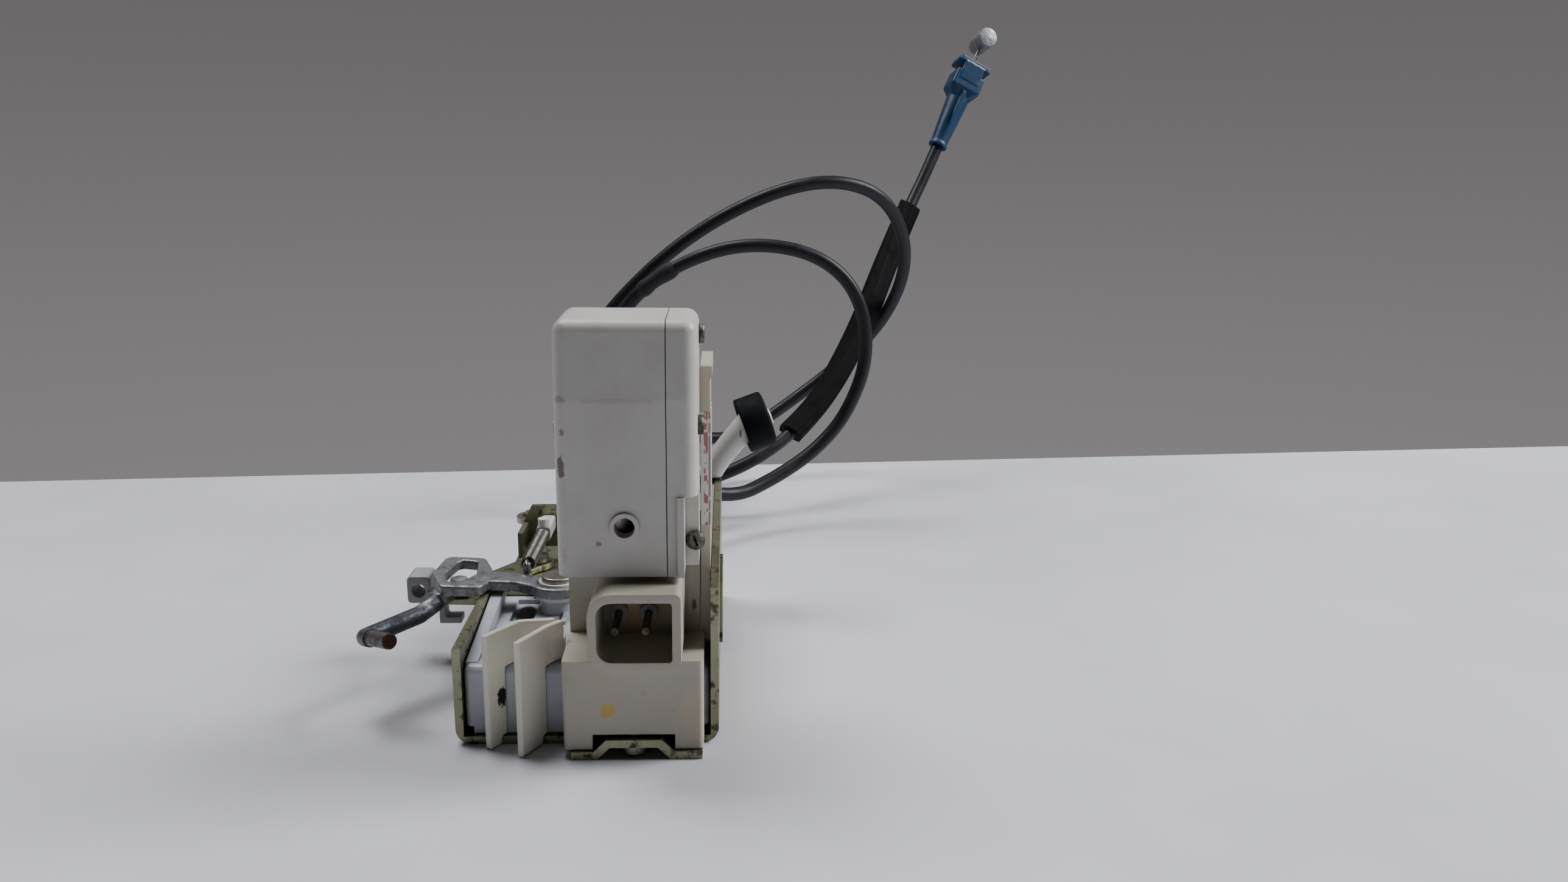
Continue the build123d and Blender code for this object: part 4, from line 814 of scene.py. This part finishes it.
def coil_piece(name: str, radius: float, wire: float, length: float, turns: float,
               material: bpy.types.Material, hooks: float = 0.0) -> bpy.types.Object:
    """Wind a coil spring along Z from the origin with Geometry Nodes.

    Args:
        name: Name of the spring.
        radius: Mean radius of its turns in millimetres.
        wire: Wire diameter in millimetres.
        length: Length of the coils in millimetres.
        turns: Number of turns.
        material: Its finish.
        hooks: Radius of the hook at each end in millimetres, or 0 for none.

    Returns:
        The spring, with Z as its axis.
    """
    maker = Generator(name, {"Radius": radius * MM, "Wire": wire / 2 * MM, "Length": length * MM,
                             "Turns": turns,
                             "Hook": hooks * MM})
    spiral = add(maker.tree, "GeometryNodeCurveSpiral", None,
                 {"Resolution": 20, "Rotations": maker.size("Turns"), "Start Radius": maker.size("Radius"),
                  "End Radius": maker.size("Radius"), "Height": maker.size("Length")})
    wires = add(maker.tree, "GeometryNodeJoinGeometry", None, {0: spiral.outputs[0]})
    if hooks:
        arc = add(maker.tree, "GeometryNodeCurveArc", None,
                  {"Resolution": 18, "Radius": maker.size("Hook"), "Start Angle": 0.0,
                   "Sweep Angle": math.radians(290)})
        for end, lean in ((0.0, -1.0), (length * MM, 1.0)):
            stood = add(maker.tree, "GeometryNodeTransform", None,
                        {0: arc.outputs[0], "Translation": (0.0, 0.0, end + lean * hooks * MM),
                         "Rotation": (math.radians(90), lean * math.radians(90), 0.0)})
            maker.tree.links.new(stood.outputs[0], wires.inputs[0])
    section = add(maker.tree, "GeometryNodeCurvePrimitiveCircle", None,
                  {"Resolution": 8, "Radius": maker.size("Wire")})
    solid = add(maker.tree, "GeometryNodeCurveToMesh", None,
                {"Curve": wires.outputs[0], "Profile Curve": section.outputs[0], "Fill Caps": True})
    return maker.piece(solid.outputs[0], material)


# Sub-assemblies


@dataclass
class BowdenCable:
    """The cable to the inside handle: its sheath, ribbed sleeve, tape, end fitting and free wire."""

    diameter: float = 5.0
    length: float = 961.0
    sleeve_width: float = 9.6
    sleeve_depth: float = 6.4
    route: tuple[Point, ...] = (
        (0.008, 0.060, 0.027), (0.008, 0.092, 0.027), (0.0347, 0.110, 0.0141), (0.0513, 0.122, 0.0191),
        (0.0666, 0.130, 0.0275), (0.0786, 0.134, 0.0407), (0.0865, 0.136, 0.0625), (0.0822, 0.136, 0.087),
        (0.0657, 0.136, 0.1012), (0.040, 0.136, 0.1046), (0.0162, 0.136, 0.0973), (-0.0043, 0.138, 0.0824),
        (-0.015, 0.147, 0.058), (-0.016, 0.159, 0.038), (-0.003, 0.170, 0.025), (0.017, 0.178, 0.021),
        (0.0371, 0.188, 0.0174), (0.0579, 0.198, 0.030), (0.0785, 0.204, 0.0443), (0.099, 0.196, 0.0662),
        (0.1068, 0.178, 0.0948), (0.096, 0.164, 0.1195), (0.0738, 0.154, 0.1273), (0.0471, 0.150, 0.1214),
        (0.0161, 0.150, 0.1041), (-0.0111, 0.150, 0.0784), (-0.024, 0.148, 0.058), (-0.029, 0.144, 0.036),
        (-0.021, 0.139, 0.018), (0.001, 0.135, 0.007), (0.0324, 0.136, 0.0163), (0.0484, 0.144, 0.0228),
        (0.0584, 0.152, 0.0288), (0.0731, 0.166, 0.042), (0.088, 0.184, 0.0654), (0.1002, 0.204, 0.0909),
        (0.1114, 0.220, 0.1128), (0.1194, 0.228, 0.1274), (0.126, 0.234, 0.1413),
    )
    sleeve_span: tuple[int, int] = (32, 36)
    tape_span: tuple[int, int] = (10, 11)
    width_direction: Point = (0.9, 0.1, -0.4)
    sleeve_direction: Point = (0.86, -0.2, -0.4)
    taper: float = 24.0
    collar: float = 7.0
    head: float = 35.0
    plate: float = 2.4
    free_wire: float = 9.0
    nipple_radius: float = 4.2
    nipple_length: float = 12.0
    strand_radius: float = 0.27
    strand_ring: float = 0.48
    strand_turns: float = 4.2
    strand_start: float = 12.0
    strand_count: int = 6

    def centre_line(self, resolution: int) -> bpy.types.Object:
        """Draw the cable's smooth centre line through its listed control points."""
        curve = bpy.data.curves.new("cable_sheath", "CURVE")
        curve.dimensions = "3D"
        spline = curve.splines.new("NURBS")
        spline.points.add(len(self.route) - 1)
        for point, place in zip(spline.points, self.route):
            point.co = (*place, 1.0)
        spline.use_endpoint_u = True
        spline.order_u = 3
        spline.resolution_u = resolution
        made = bpy.data.objects.new("cable_sheath", curve)
        bpy.context.collection.objects.link(made)
        return made

    def line_points(self) -> list[Vector]:
        """Read the points of the centre line from the spline itself."""
        bare = self.centre_line(14)
        bpy.context.view_layer.update()
        graph = bpy.context.evaluated_depsgraph_get()
        mesh = bpy.data.meshes.new_from_object(bare.evaluated_get(graph))
        points = [vertex.co.copy() for vertex in mesh.vertices]
        bpy.data.objects.remove(bare)
        return points

    def stretch(self, points: list[Vector], span: tuple[int, int]) -> list[Vector]:
        """Return the part of the centre line nearest to two points of the route."""
        ends = []
        for index in span:
            goal = Vector(self.route[index])
            ends.append(min(range(len(points)), key=lambda k: (points[k] - goal).length))
        return points[ends[0] : ends[1] + 1]

    def sleeve_shape(self, path: list[Vector]) -> Shape:
        """Run the flat, ribbed section of the sleeve along the cable, with a slight twist and ragged ends."""
        rings = []
        across = Vector(self.sleeve_direction)
        steps = 60
        for index, point in enumerate(path):
            along = (path[min(index + 1, len(path) - 1)] - path[max(index - 1, 0)]).normalized()
            across = (across - along * across.dot(along)).normalized()
            twist = Matrix.Rotation(0.35 * math.sin(3.2 * index / len(path)), 3, along)
            wide = twist @ across
            deep = along.cross(wide)
            ring = []
            for k in range(steps):
                turn = 2 * math.pi * k / steps
                c, s = math.cos(turn), math.sin(turn)
                x = math.copysign(abs(c) ** 0.45, c) * self.sleeve_width / 2
                y = math.copysign(abs(s) ** 0.6, s) * self.sleeve_depth / 2
                if abs(s) > 0.45:
                    y += math.copysign(0.5 * (math.cos(2 * math.pi * x / 3.1) - 0.4), s)
                skew = 0.0
                if index == 0:
                    skew = 1.6 * x / self.sleeve_width
                if index == len(path) - 1:
                    skew = -1.2 * x / self.sleeve_width
                ring.append(point + (wide * x + deep * y + along * skew) * MM)
            rings.append(ring)
        return skinned(rings)

    def tape_shape(self, path: list[Vector]) -> Shape:
        """Wrap an uneven turn of tape round the cable."""
        radii = []
        for index in range(len(path)):
            lap = 0.25 * math.sin(9.0 * index / len(path)) + 0.12 * math.sin(31.0 * index / len(path))
            radii.append((self.diameter / 2 + 0.45 + lap) * MM)
        radii[0] = radii[-1] = (self.diameter / 2 + 0.1) * MM
        return tube(path, radii, 28)

    def fitting_shape(self) -> Shape:
        """Shape the end fitting along Z: lipped taper, fins, chamfered collar, neck and slotted head."""
        half = self.diameter / 2
        taper = turned([(half, -4.0), (4.0, -4.0), (4.1, -3.4), (4.0, -2.6), (3.65, -2.2), (4.3, 8.0),
                        (5.1, self.taper),
                        (0.3, self.taper), (0.3, 0.0), (half, 0.0)])
        collar = slab([(20.0, 8.6, 8.6, 2.0), (23.2, 13.0, 11.0, 1.2), (24.0, 13.6, 11.4, 1.0),
                       (31.0, 13.2, 11.2, 1.0)])
        neck = slab([(30.0, 9.6, 9.0, 0.6), (self.head + 0.5, 9.6, 9.0, 0.6)])
        plate = slab([(self.head, 15.2, 11.2, 0.8), (self.head + self.plate, 14.8, 10.8, 0.8)])
        face = slab([(27.0, 9.6, 1.6, 0.4), (self.head + 0.5, 9.6, 1.6, 0.4)], (0.0, -5.0))
        fins = [slab([(6.0, 1.2, 0.5, 0.2), (22.0, 1.2, 2.2, 0.4)], (x, y))
                for x, y in ((0.0, -5.4), (0.0, 5.4))]
        return joined(taper, collar, neck, plate, face, *fins)

    def build(self, wardrobe: Wardrobe) -> None:
        """Args:
            wardrobe: Source of the finishes.
        """
        line = self.line_points()
        sheath = self.centre_line(12)
        sheath.data.bevel_depth = self.diameter / 2 * MM
        sheath.data.bevel_resolution = 6
        sheath.data.use_fill_caps = True
        sheath.data.materials.append(wardrobe.material("sheath"))
        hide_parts("cable_conduit")

        sleeve = piece("cable_sleeve_ribbed", self.sleeve_shape(self.stretch(line, self.sleeve_span)),
                       wardrobe.material("rubber"), 50.0)
        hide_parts("cable_sleeve")

        tape = piece("cable_tape", self.tape_shape(self.stretch(line, self.tape_span)[2:-3]),
                     wardrobe.material("tape"), 60.0)

        along = Vector(self.route[-1]) - Vector(self.route[-2])
        end = seat(Vector(self.route[-1]), along, Vector(self.width_direction))
        fitting = fused("cable_fitting_blue", set_in(self.fitting_shape(), end),
                        wardrobe.material("blue_acetal"), 0.28, 2)
        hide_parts("cable_end_fitting")

        wire = self.strands(end, wardrobe)
        reach = self.head + self.plate + self.free_wire + self.nipple_radius - 0.8
        barrel = seat(end @ Vector((0.0, -self.nipple_length / 2 * MM, reach * MM)), end.col[1].to_3d(),
                      end.col[0].to_3d())
        r, l = self.nipple_radius, self.nipple_length
        rim = [(0.01, 0.0), (r - 0.5, 0.0), (r - 0.1, 0.15), (r, 0.6), (r, l / 2 - 0.3), (r + 0.05, l / 2),
               (r, l / 2 + 0.3),
               (r, l - 0.6), (r - 0.1, l - 0.15), (r - 0.5, l), (0.01, l)]
        nipple = piece("cable_barrel_nipple", set_in(turned(rim), barrel),
                       wardrobe.material("nipple_casting"), 50.0)
        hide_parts("free_end_nipple")

        for part in (sheath, sleeve, tape, fitting):
            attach(part, ROOT)
        for part in (wire, nipple):
            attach(part, "free_end")
        log.info("cable with sleeve, tape, fitting, wire and nipple")

    def strands(self, end: Matrix, wardrobe: Wardrobe) -> bpy.types.Object:
        """Twist the free wire from seven strands with Geometry Nodes."""
        long = self.head + self.plate + self.free_wire - self.strand_start
        sizes = {"Strand": self.strand_radius * MM, "Ring": self.strand_ring * MM, "Length": long * MM,
                 "Turns": self.strand_turns}
        maker = Generator("cable_wire_strands", sizes)
        lay = add(maker.tree, "GeometryNodeCurveSpiral", None,
                  {"Resolution": 18, "Rotations": maker.size("Turns"), "Start Radius": maker.size("Ring"),
                   "End Radius": maker.size("Ring"), "Height": maker.size("Length")})
        core = add(maker.tree, "GeometryNodeCurvePrimitiveLine", None, {"End": (0.0, 0.0, long * MM)})
        wires = add(maker.tree, "GeometryNodeJoinGeometry", None, {0: core.outputs[0]})
        for strand in range(self.strand_count):
            angle = math.tau / self.strand_count * strand
            turned_lay = add(maker.tree, "GeometryNodeTransform", None,
                             {0: lay.outputs[0], "Rotation": (0.0, 0.0, angle)})
            maker.tree.links.new(turned_lay.outputs[0], wires.inputs[0])
        section = add(maker.tree, "GeometryNodeCurvePrimitiveCircle", None,
                      {"Resolution": 8, "Radius": maker.size("Strand")})
        solid = add(maker.tree, "GeometryNodeCurveToMesh", None,
                    {"Curve": wires.outputs[0], "Profile Curve": section.outputs[0], "Fill Caps": True})
        wire = maker.piece(solid.outputs[0], wardrobe.material("spring_steel"))
        wire.data.transform(end @ Matrix.Translation((0.0, 0.0, self.strand_start * MM)))
        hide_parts("free_end_wire")
        return wire


@dataclass
class OutsideLever:
    """The outside handle lever, its pin, bearing and tension spring."""

    spring_from: Point = (-0.0203, -0.0046, 0.0302)
    spring_to: Point = (-0.0188, 0.0126, 0.0326)
    coil_radius: float = 1.75
    wire: float = 0.7
    hook: float = 1.5

    def build(self, wardrobe: Wardrobe) -> None:
        """Make the casting and the spring, and dress the rest.

        Args:
            wardrobe: Source of the finishes.
        """
        casting = fused("outside_lever_casting", cad_shape(wardrobe.nodes["outside_handle_lever"]),
                        wardrobe.material("casting"), 0.32, 4)
        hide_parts("outside_handle_lever")
        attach(casting, "outside_lever")

        start, stop = Vector(self.spring_from), Vector(self.spring_to)
        span = (stop - start).length / MM
        spring = coil_piece("lever_tension_spring", self.coil_radius, self.wire, span,
                            span / (self.wire * 1.06),
                            wardrobe.material("spring_steel"), self.hook)
        spring.data.transform(seat(start, stop - start, Vector((0.0, 0.0, 1.0))))
        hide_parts("lever_return_spring")
        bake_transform(spring)

        wardrobe.dress("rusty_pin", "outside_lever_pin")
        wardrobe.dress("white_nylon", "spring_anchor", "lever_bush")
        wardrobe.dress("turned_steel", "lever_stud")
        log.info("outside lever with its tension spring")


@dataclass
class LockRod:
    """The lock lever, its rod clip, stud and wire link."""

    def build(self, wardrobe: Wardrobe) -> None:
        """Round the clip and dress the rest.

        Args:
            wardrobe: Source of the finishes.
        """
        clip = fused("rod_clip_moulding", cad_shape(wardrobe.nodes["rod_clip"]),
                     wardrobe.material("grey_nylon"), 0.28, 3)
        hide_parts("rod_clip")
        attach(clip, "lock_arm")
        wardrobe.dress("chromate", "lock_lever")
        wardrobe.dress("turned_steel", "lock_stud", "lock_link")
        log.info("lock lever with its rod clip")


@dataclass
class LatchWork:
    """Fork bolt, pawl, their rivets and springs inside the shell."""

    def build(self, wardrobe: Wardrobe) -> None:
        """Wind the torsion springs and dress the rest.

        Args:
            wardrobe: Source of the finishes.
        """
        for node, wire in (("fork_spring", 1.1), ("pawl_spring", 0.9), ("inside_lever_spring", 0.8)):
            low, high = (Vector(corner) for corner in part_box(node))
            radius = (high.x - low.x) / 2 / MM - wire / 2
            length = (high.z - low.z) / MM - wire
            spring = coil_piece(node + "_wound", radius, wire, length, length / (wire * 1.15),
                                wardrobe.material("spring_steel"))
            middle = (low + high) / 2
            spring.data.transform(Matrix.Translation((middle.x, middle.y, low.z + wire / 2 * MM)))
            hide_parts(node)
            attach(spring, ROOT)
        wardrobe.dress("turned_steel", "fork_bolt", "pawl", "fork_rivet", "pawl_rivet", "tongue_rivet",
                       "bracket_rivets")
        wardrobe.dress("black_plastic", "fork_jacket")
        wardrobe.dress("rubber", "striker_bumper")
        log.info("fork bolt, pawl and their springs")


@dataclass
class Shell:
    """The folded steel shell with its back plate and rear bracket, and the nylon housing and flap."""

    def build(self, wardrobe: Wardrobe) -> None:
        """Dress the steel and the housing, and soften the flap.

        Args:
            wardrobe: Source of the finishes.
        """
        wardrobe.dress("chromate", "base_plate", "back_plate", "rear_bracket", "cable_anchor")
        wardrobe.dress("nylon_case", "latch_housing")
        flap = fused("splash_flap_soft", cad_shape(wardrobe.nodes["splash_flap"]),
                     wardrobe.material("flap_nylon"), 0.3, 2)
        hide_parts("splash_flap")
        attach(flap, ROOT)
        log.info("shell, housing and flap")


@dataclass
class Actuator:
    """The locking actuator with its drive, screws, carrier and printed label."""

    head_radius: float = 2.25
    head_height: float = 1.3
    recess: float = 0.75
    paper: float = 0.12
    fold: tuple[float, float, float, float, float] = (27.35, 29.7, -38.86, 52.0, 80.0)
    screws: tuple[tuple[Point, Point], ...] = (
        ((26.35, -50.0, 52.0), (0.0, -1.0, 0.0)),
        ((27.1, -40.0, 99.0), (1.0, 0.0, 0.0)),
        ((27.1, -52.0, 80.0), (1.0, 0.0, 0.0)),
    )

    def screw_heads(self, wardrobe: Wardrobe) -> bpy.types.Object:
        """Set a cross-recessed head at each screw place with Geometry Nodes."""
        maker = Generator("case_screw_heads", {"Radius": self.head_radius * MM,
                                               "Height": self.head_height * MM,
                                               "Recess": self.recess * MM})
        head = add(maker.tree, "GeometryNodeMeshCylinder", None,
                   {"Vertices": 32, "Radius": maker.size("Radius"), "Depth": maker.size("Height")})
        slots = add(maker.tree, "GeometryNodeJoinGeometry")
        for quarter in (0.0, 90.0):
            bar = add(maker.tree, "GeometryNodeMeshCube", None, {"Size": (2.6 * MM, 0.6 * MM, 1.2 * MM)})
            stood = add(maker.tree, "GeometryNodeTransform", None,
                        {0: bar.outputs[0], "Translation": (0.0, 0.0, 0.8 * MM),
                         "Rotation": (0.0, 0.0, math.radians(quarter + 20))})
            maker.tree.links.new(stood.outputs[0], slots.inputs[0])
        cut = add(maker.tree, "GeometryNodeMeshBoolean", {"operation": "DIFFERENCE"},
                  {"Mesh 1": head.outputs[0], "Mesh 2": slots.outputs[0]})
        facing = add(maker.tree, "GeometryNodeInputNamedAttribute", {"data_type": "FLOAT_VECTOR"},
                     {"Name": "facing"})
        turn = add(maker.tree, "FunctionNodeAlignRotationToVector", {"axis": "Z"},
                   {"Vector": facing.outputs[0]})
        heads = add(maker.tree, "GeometryNodeInstanceOnPoints", None,
                    {"Points": maker.given.outputs[0], "Instance": cut.outputs[0],
                     "Rotation": turn.outputs[0]})
        places = [(Vector(place) + Vector(way) * self.head_height / 2) * MM for place, way in self.screws]
        return self.with_facing(maker, heads.outputs[0], places, wardrobe)

    def with_facing(self, maker: Generator, heads: bpy.types.NodeSocket, places: list[Vector],
                    wardrobe: Wardrobe) -> bpy.types.Object:
        """Store the way each screw faces where the tree reads it, then make the heads."""
        stored = maker.given.outputs[0]
        for number, (_, way) in enumerate(self.screws):
            index = add(maker.tree, "GeometryNodeInputIndex")
            same = add(maker.tree, "FunctionNodeCompare", {"data_type": "INT", "operation": "EQUAL"},
                       {2: index.outputs[0], 3: number})
            store = add(maker.tree, "GeometryNodeStoreNamedAttribute", {"data_type": "FLOAT_VECTOR"},
                        {"Geometry": stored, "Selection": same.outputs[0], "Name": "facing", "Value": way})
            stored = store.outputs[0]
        instances = heads.node
        maker.tree.links.new(stored, instances.inputs["Points"])
        return maker.piece(heads, wardrobe.material("grimy_steel"), (places, []))

    def build(self, wardrobe: Wardrobe) -> None:
        """Make the screw heads and dress the rest.

        Args:
            wardrobe: Source of the finishes.
        """
        heads = self.screw_heads(wardrobe)
        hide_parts("cover_screws")
        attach(heads, ROOT)
        wardrobe.dress("abs_case", "actuator_case", "actuator_cover")
        wardrobe.dress("pbt_ivory", "switch_housing", "actuator_carrier")
        wardrobe.dress("brass", "connector_terminals")
        wardrobe.dress("grey_nylon", "terminal_collars")
        wardrobe.dress("black_plastic", "position_switch")
        wardrobe.dress("rubber", "case_seal")
        wardrobe.dress("turned_steel", "motor", "motor_shaft", "output_shaft", "output_lever")
        wardrobe.dress("brass", "worm")
        wardrobe.dress("gear_acetal", "worm_wheel")
        wardrobe.dress("paper", "blank_label")
        x0, x1, y, z0, z1 = self.fold
        fold = piece("label_fold", slab([(z0, x1 - x0, self.paper, 0.02), (z1, x1 - x0, self.paper, 0.02)],
                                        ((x0 + x1) / 2, y)), wardrobe.material("paper_fold"))
        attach(fold, ROOT)
        log.info("actuator, switch housing and carrier")


@dataclass
class InsideLever:
    """The inside handle lever at the back, with the cable's lock end."""

    def build(self, wardrobe: Wardrobe) -> None:
        """Dress the lever and the cable's lock end."""
        wardrobe.dress("chromate", "inside_handle_lever")
        wardrobe.dress("turned_steel", "inside_stud", "lock_end_nipple")
        wardrobe.dress("spring_steel", "lock_end_wire")
        wardrobe.dress("black_plastic", "cable_ferrule")
        log.info("inside lever and the cable's lock end")


@dataclass
class KeyLink:
    """The nylon elbow at the back with its stud and rubber cap."""

    foot: Point = (28.45, 47.0, 40.7)
    rise: Point = (28.45, 47.0, 44.0)
    bend: Point = (39.5, 47.0, 56.8)
    boss: Point = (0.94, 0.12, 0.32)
    cap_radius: float = 8.5
    cap_wall: float = 1.3

    def build(self, wardrobe: Wardrobe) -> None:
        """Shape the elbow and its cap.

        Args:
            wardrobe: Source of the finishes.
        """
        way = Vector(self.boss).normalized()
        foot, rise, bend = (Vector(p) for p in (self.foot, self.rise, self.bend))
        path, radii = [], []
        for step in range(25):
            t = step / 24
            corner = (1 - t) ** 2 * foot + 2 * t * (1 - t) * rise + t * t * bend
            path.append(corner * MM)
            radii.append((3.5 + 0.5 * t) * MM)
        neck = [(bend + way * d) * MM for d in (-3.2, -2.4, -1.0, 0.4, 1.8, 2.6, 2.8, 3.4, 8.0)]
        sizes = [r * MM for r in (1.6, 3.0, 4.2, 4.7, 4.7, 4.3, 3.0, 2.6, 2.6)]
        elbow = fused("key_link_elbow_moulding", joined(tube(path, radii, 28), tube(neck, sizes, 28)),
                      wardrobe.material("white_nylon"), 0.35, 6)
        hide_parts("key_link_elbow")
        r, w = self.cap_radius, self.cap_wall
        rim = [(2.65, 5.6), (r - w - 0.4, 5.6), (r - w, 5.2), (r - w, -1.1), (r - w + 0.3, -1.5),
               (r - 0.4, -1.55),
               (r - 0.1, -1.35), (r, -0.9), (r + 0.05, 6.2), (r - 0.3, 6.8), (r - 0.9, 7.0), (2.65, 7.0)]
        cap = piece("key_link_cap_ring", set_in(turned(rim, 72),
                                                seat(bend * MM, way, Vector((0.0, 0.0, 1.0)))),
                    wardrobe.material("cap_rubber"), 50.0)
        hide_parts("key_link_cap")
        for part in (elbow, cap):
            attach(part, "key_link")
        wardrobe.dress("turned_steel", "key_link_stud")
        log.info("key link elbow and cap")


@dataclass(frozen=True)
class Lamp:
    """A rectangular soft light: place, point faced and size in metres, power in watts."""

    name: str
    place: Point
    aim: Point
    size: tuple[float, float]
    power: float
    colour: str = "#fbfcff"


@dataclass
class Studio:
    """Table top, soft light and camera."""

    eye: Point = (0.0343785, -0.335, 0.14625)
    right: Point = (0.99911, -0.04071, 0.01122)
    up: Point = (-0.00111, 0.24034, 0.97069)
    forward: Point = (0.04222, 0.96983, -0.24008)
    lens: float = 29.3
    sensor: float = 36.0
    table: tuple[tuple[float, float], ...] = ((-1.6, -1.2), (1.8, -1.2), (1.8, 0.3687), (-1.6, 0.0648))
    thickness: float = 0.03
    lamps: tuple[Lamp, ...] = (
        Lamp("left_ceiling_light", (-0.5, 0.42, 1.5), (0.0, 0.1, 0.0), (0.9, 0.5), 21.0),
        Lamp("right_ceiling_light", (1.35, 0.2, 1.1), (0.5, 0.1, 0.0), (0.9, 0.6), 36.0),
    )
    front_shade: str = "#242323"
    wall_low: str = "#848183"
    wall_high: str = "#696667"

    def camera(self) -> None:
        """Set the camera at the photographer's place."""
        data = bpy.data.cameras.new("camera")
        data.lens = self.lens
        data.sensor_width = self.sensor
        data.clip_start = 0.01
        data.clip_end = 30.0
        eye = bpy.data.objects.new("camera", data)
        bpy.context.collection.objects.link(eye)
        turn = Matrix((self.right, self.up, -Vector(self.forward))).transposed().to_4x4()
        eye.matrix_world = Matrix.Translation(self.eye) @ turn
        bpy.context.scene.camera = eye

    def light(self, lamp: Lamp) -> None:
        """Hang a rectangular soft light."""
        data = bpy.data.lights.new(lamp.name, "AREA")
        data.shape = "RECTANGLE"
        data.size, data.size_y = lamp.size
        data.energy = lamp.power
        data.color = linear(lamp.colour)[:3]
        hung = bpy.data.objects.new(lamp.name, data)
        bpy.context.collection.objects.link(hung)
        way = Vector(lamp.place) - Vector(lamp.aim)
        hung.matrix_world = seat(Vector(lamp.place), way, Vector((1.0, 0.0, 0.0)))

    def room(self) -> None:
        """Surround the table with a grey room: dark in front, lighter behind and just below the horizon."""
        world = bpy.data.worlds.new("room")
        world.use_nodes = True
        tree = world.node_tree
        tree.nodes.clear()
        way = add(tree, "ShaderNodeTexCoord").outputs["Generated"]
        along = add(tree, "ShaderNodeSeparateXYZ", None, {"Vector": way}).outputs
        height = add(tree, "ShaderNodeMapRange", {"interpolation_type": "SMOOTHSTEP"},
                     {"Value": along["Z"], "From Min": -0.3, "From Max": 0.16})
        wall = add(tree, "ShaderNodeMix", {"data_type": "RGBA"},
                   {"Factor": height.outputs[0], 6: self.wall_low, 7: self.wall_high})
        depth = add(tree, "ShaderNodeMapRange", {"interpolation_type": "SMOOTHSTEP"},
                    {"Value": along["Y"], "From Min": -0.2, "From Max": 0.6})
        shade = add(tree, "ShaderNodeMix", {"data_type": "RGBA"},
                    {"Factor": depth.outputs[0], 6: self.front_shade, 7: wall.outputs[2]})
        glow = add(tree, "ShaderNodeBackground", None, {"Color": shade.outputs[2]})
        add(tree, "ShaderNodeOutputWorld", None, {"Surface": glow.outputs[0]})
        bpy.context.scene.world = world

    def build(self) -> None:
        """Make the table, the lights and the surroundings."""
        shape = skinned([[Vector((x, y, z)) for x, y in self.table] for z in (-self.thickness, 0.0)])
        piece("table_top", shape, Laminate().material())
        for lamp in self.lamps:
            self.light(lamp)
        self.room()
        log.info("table, lights and room")


def main() -> None:
    """Build every sub-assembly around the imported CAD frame."""
    logging.basicConfig(level=logging.INFO, format="%(name)s: %(message)s")
    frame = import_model()
    studio = Studio()
    studio.camera()
    wardrobe = Wardrobe(frame["nodes"])
    BowdenCable().build(wardrobe)
    Shell().build(wardrobe)
    OutsideLever().build(wardrobe)
    LockRod().build(wardrobe)
    LatchWork().build(wardrobe)
    Actuator().build(wardrobe)
    InsideLever().build(wardrobe)
    KeyLink().build(wardrobe)
    studio.build()


if __name__ == "__main__":
    main()
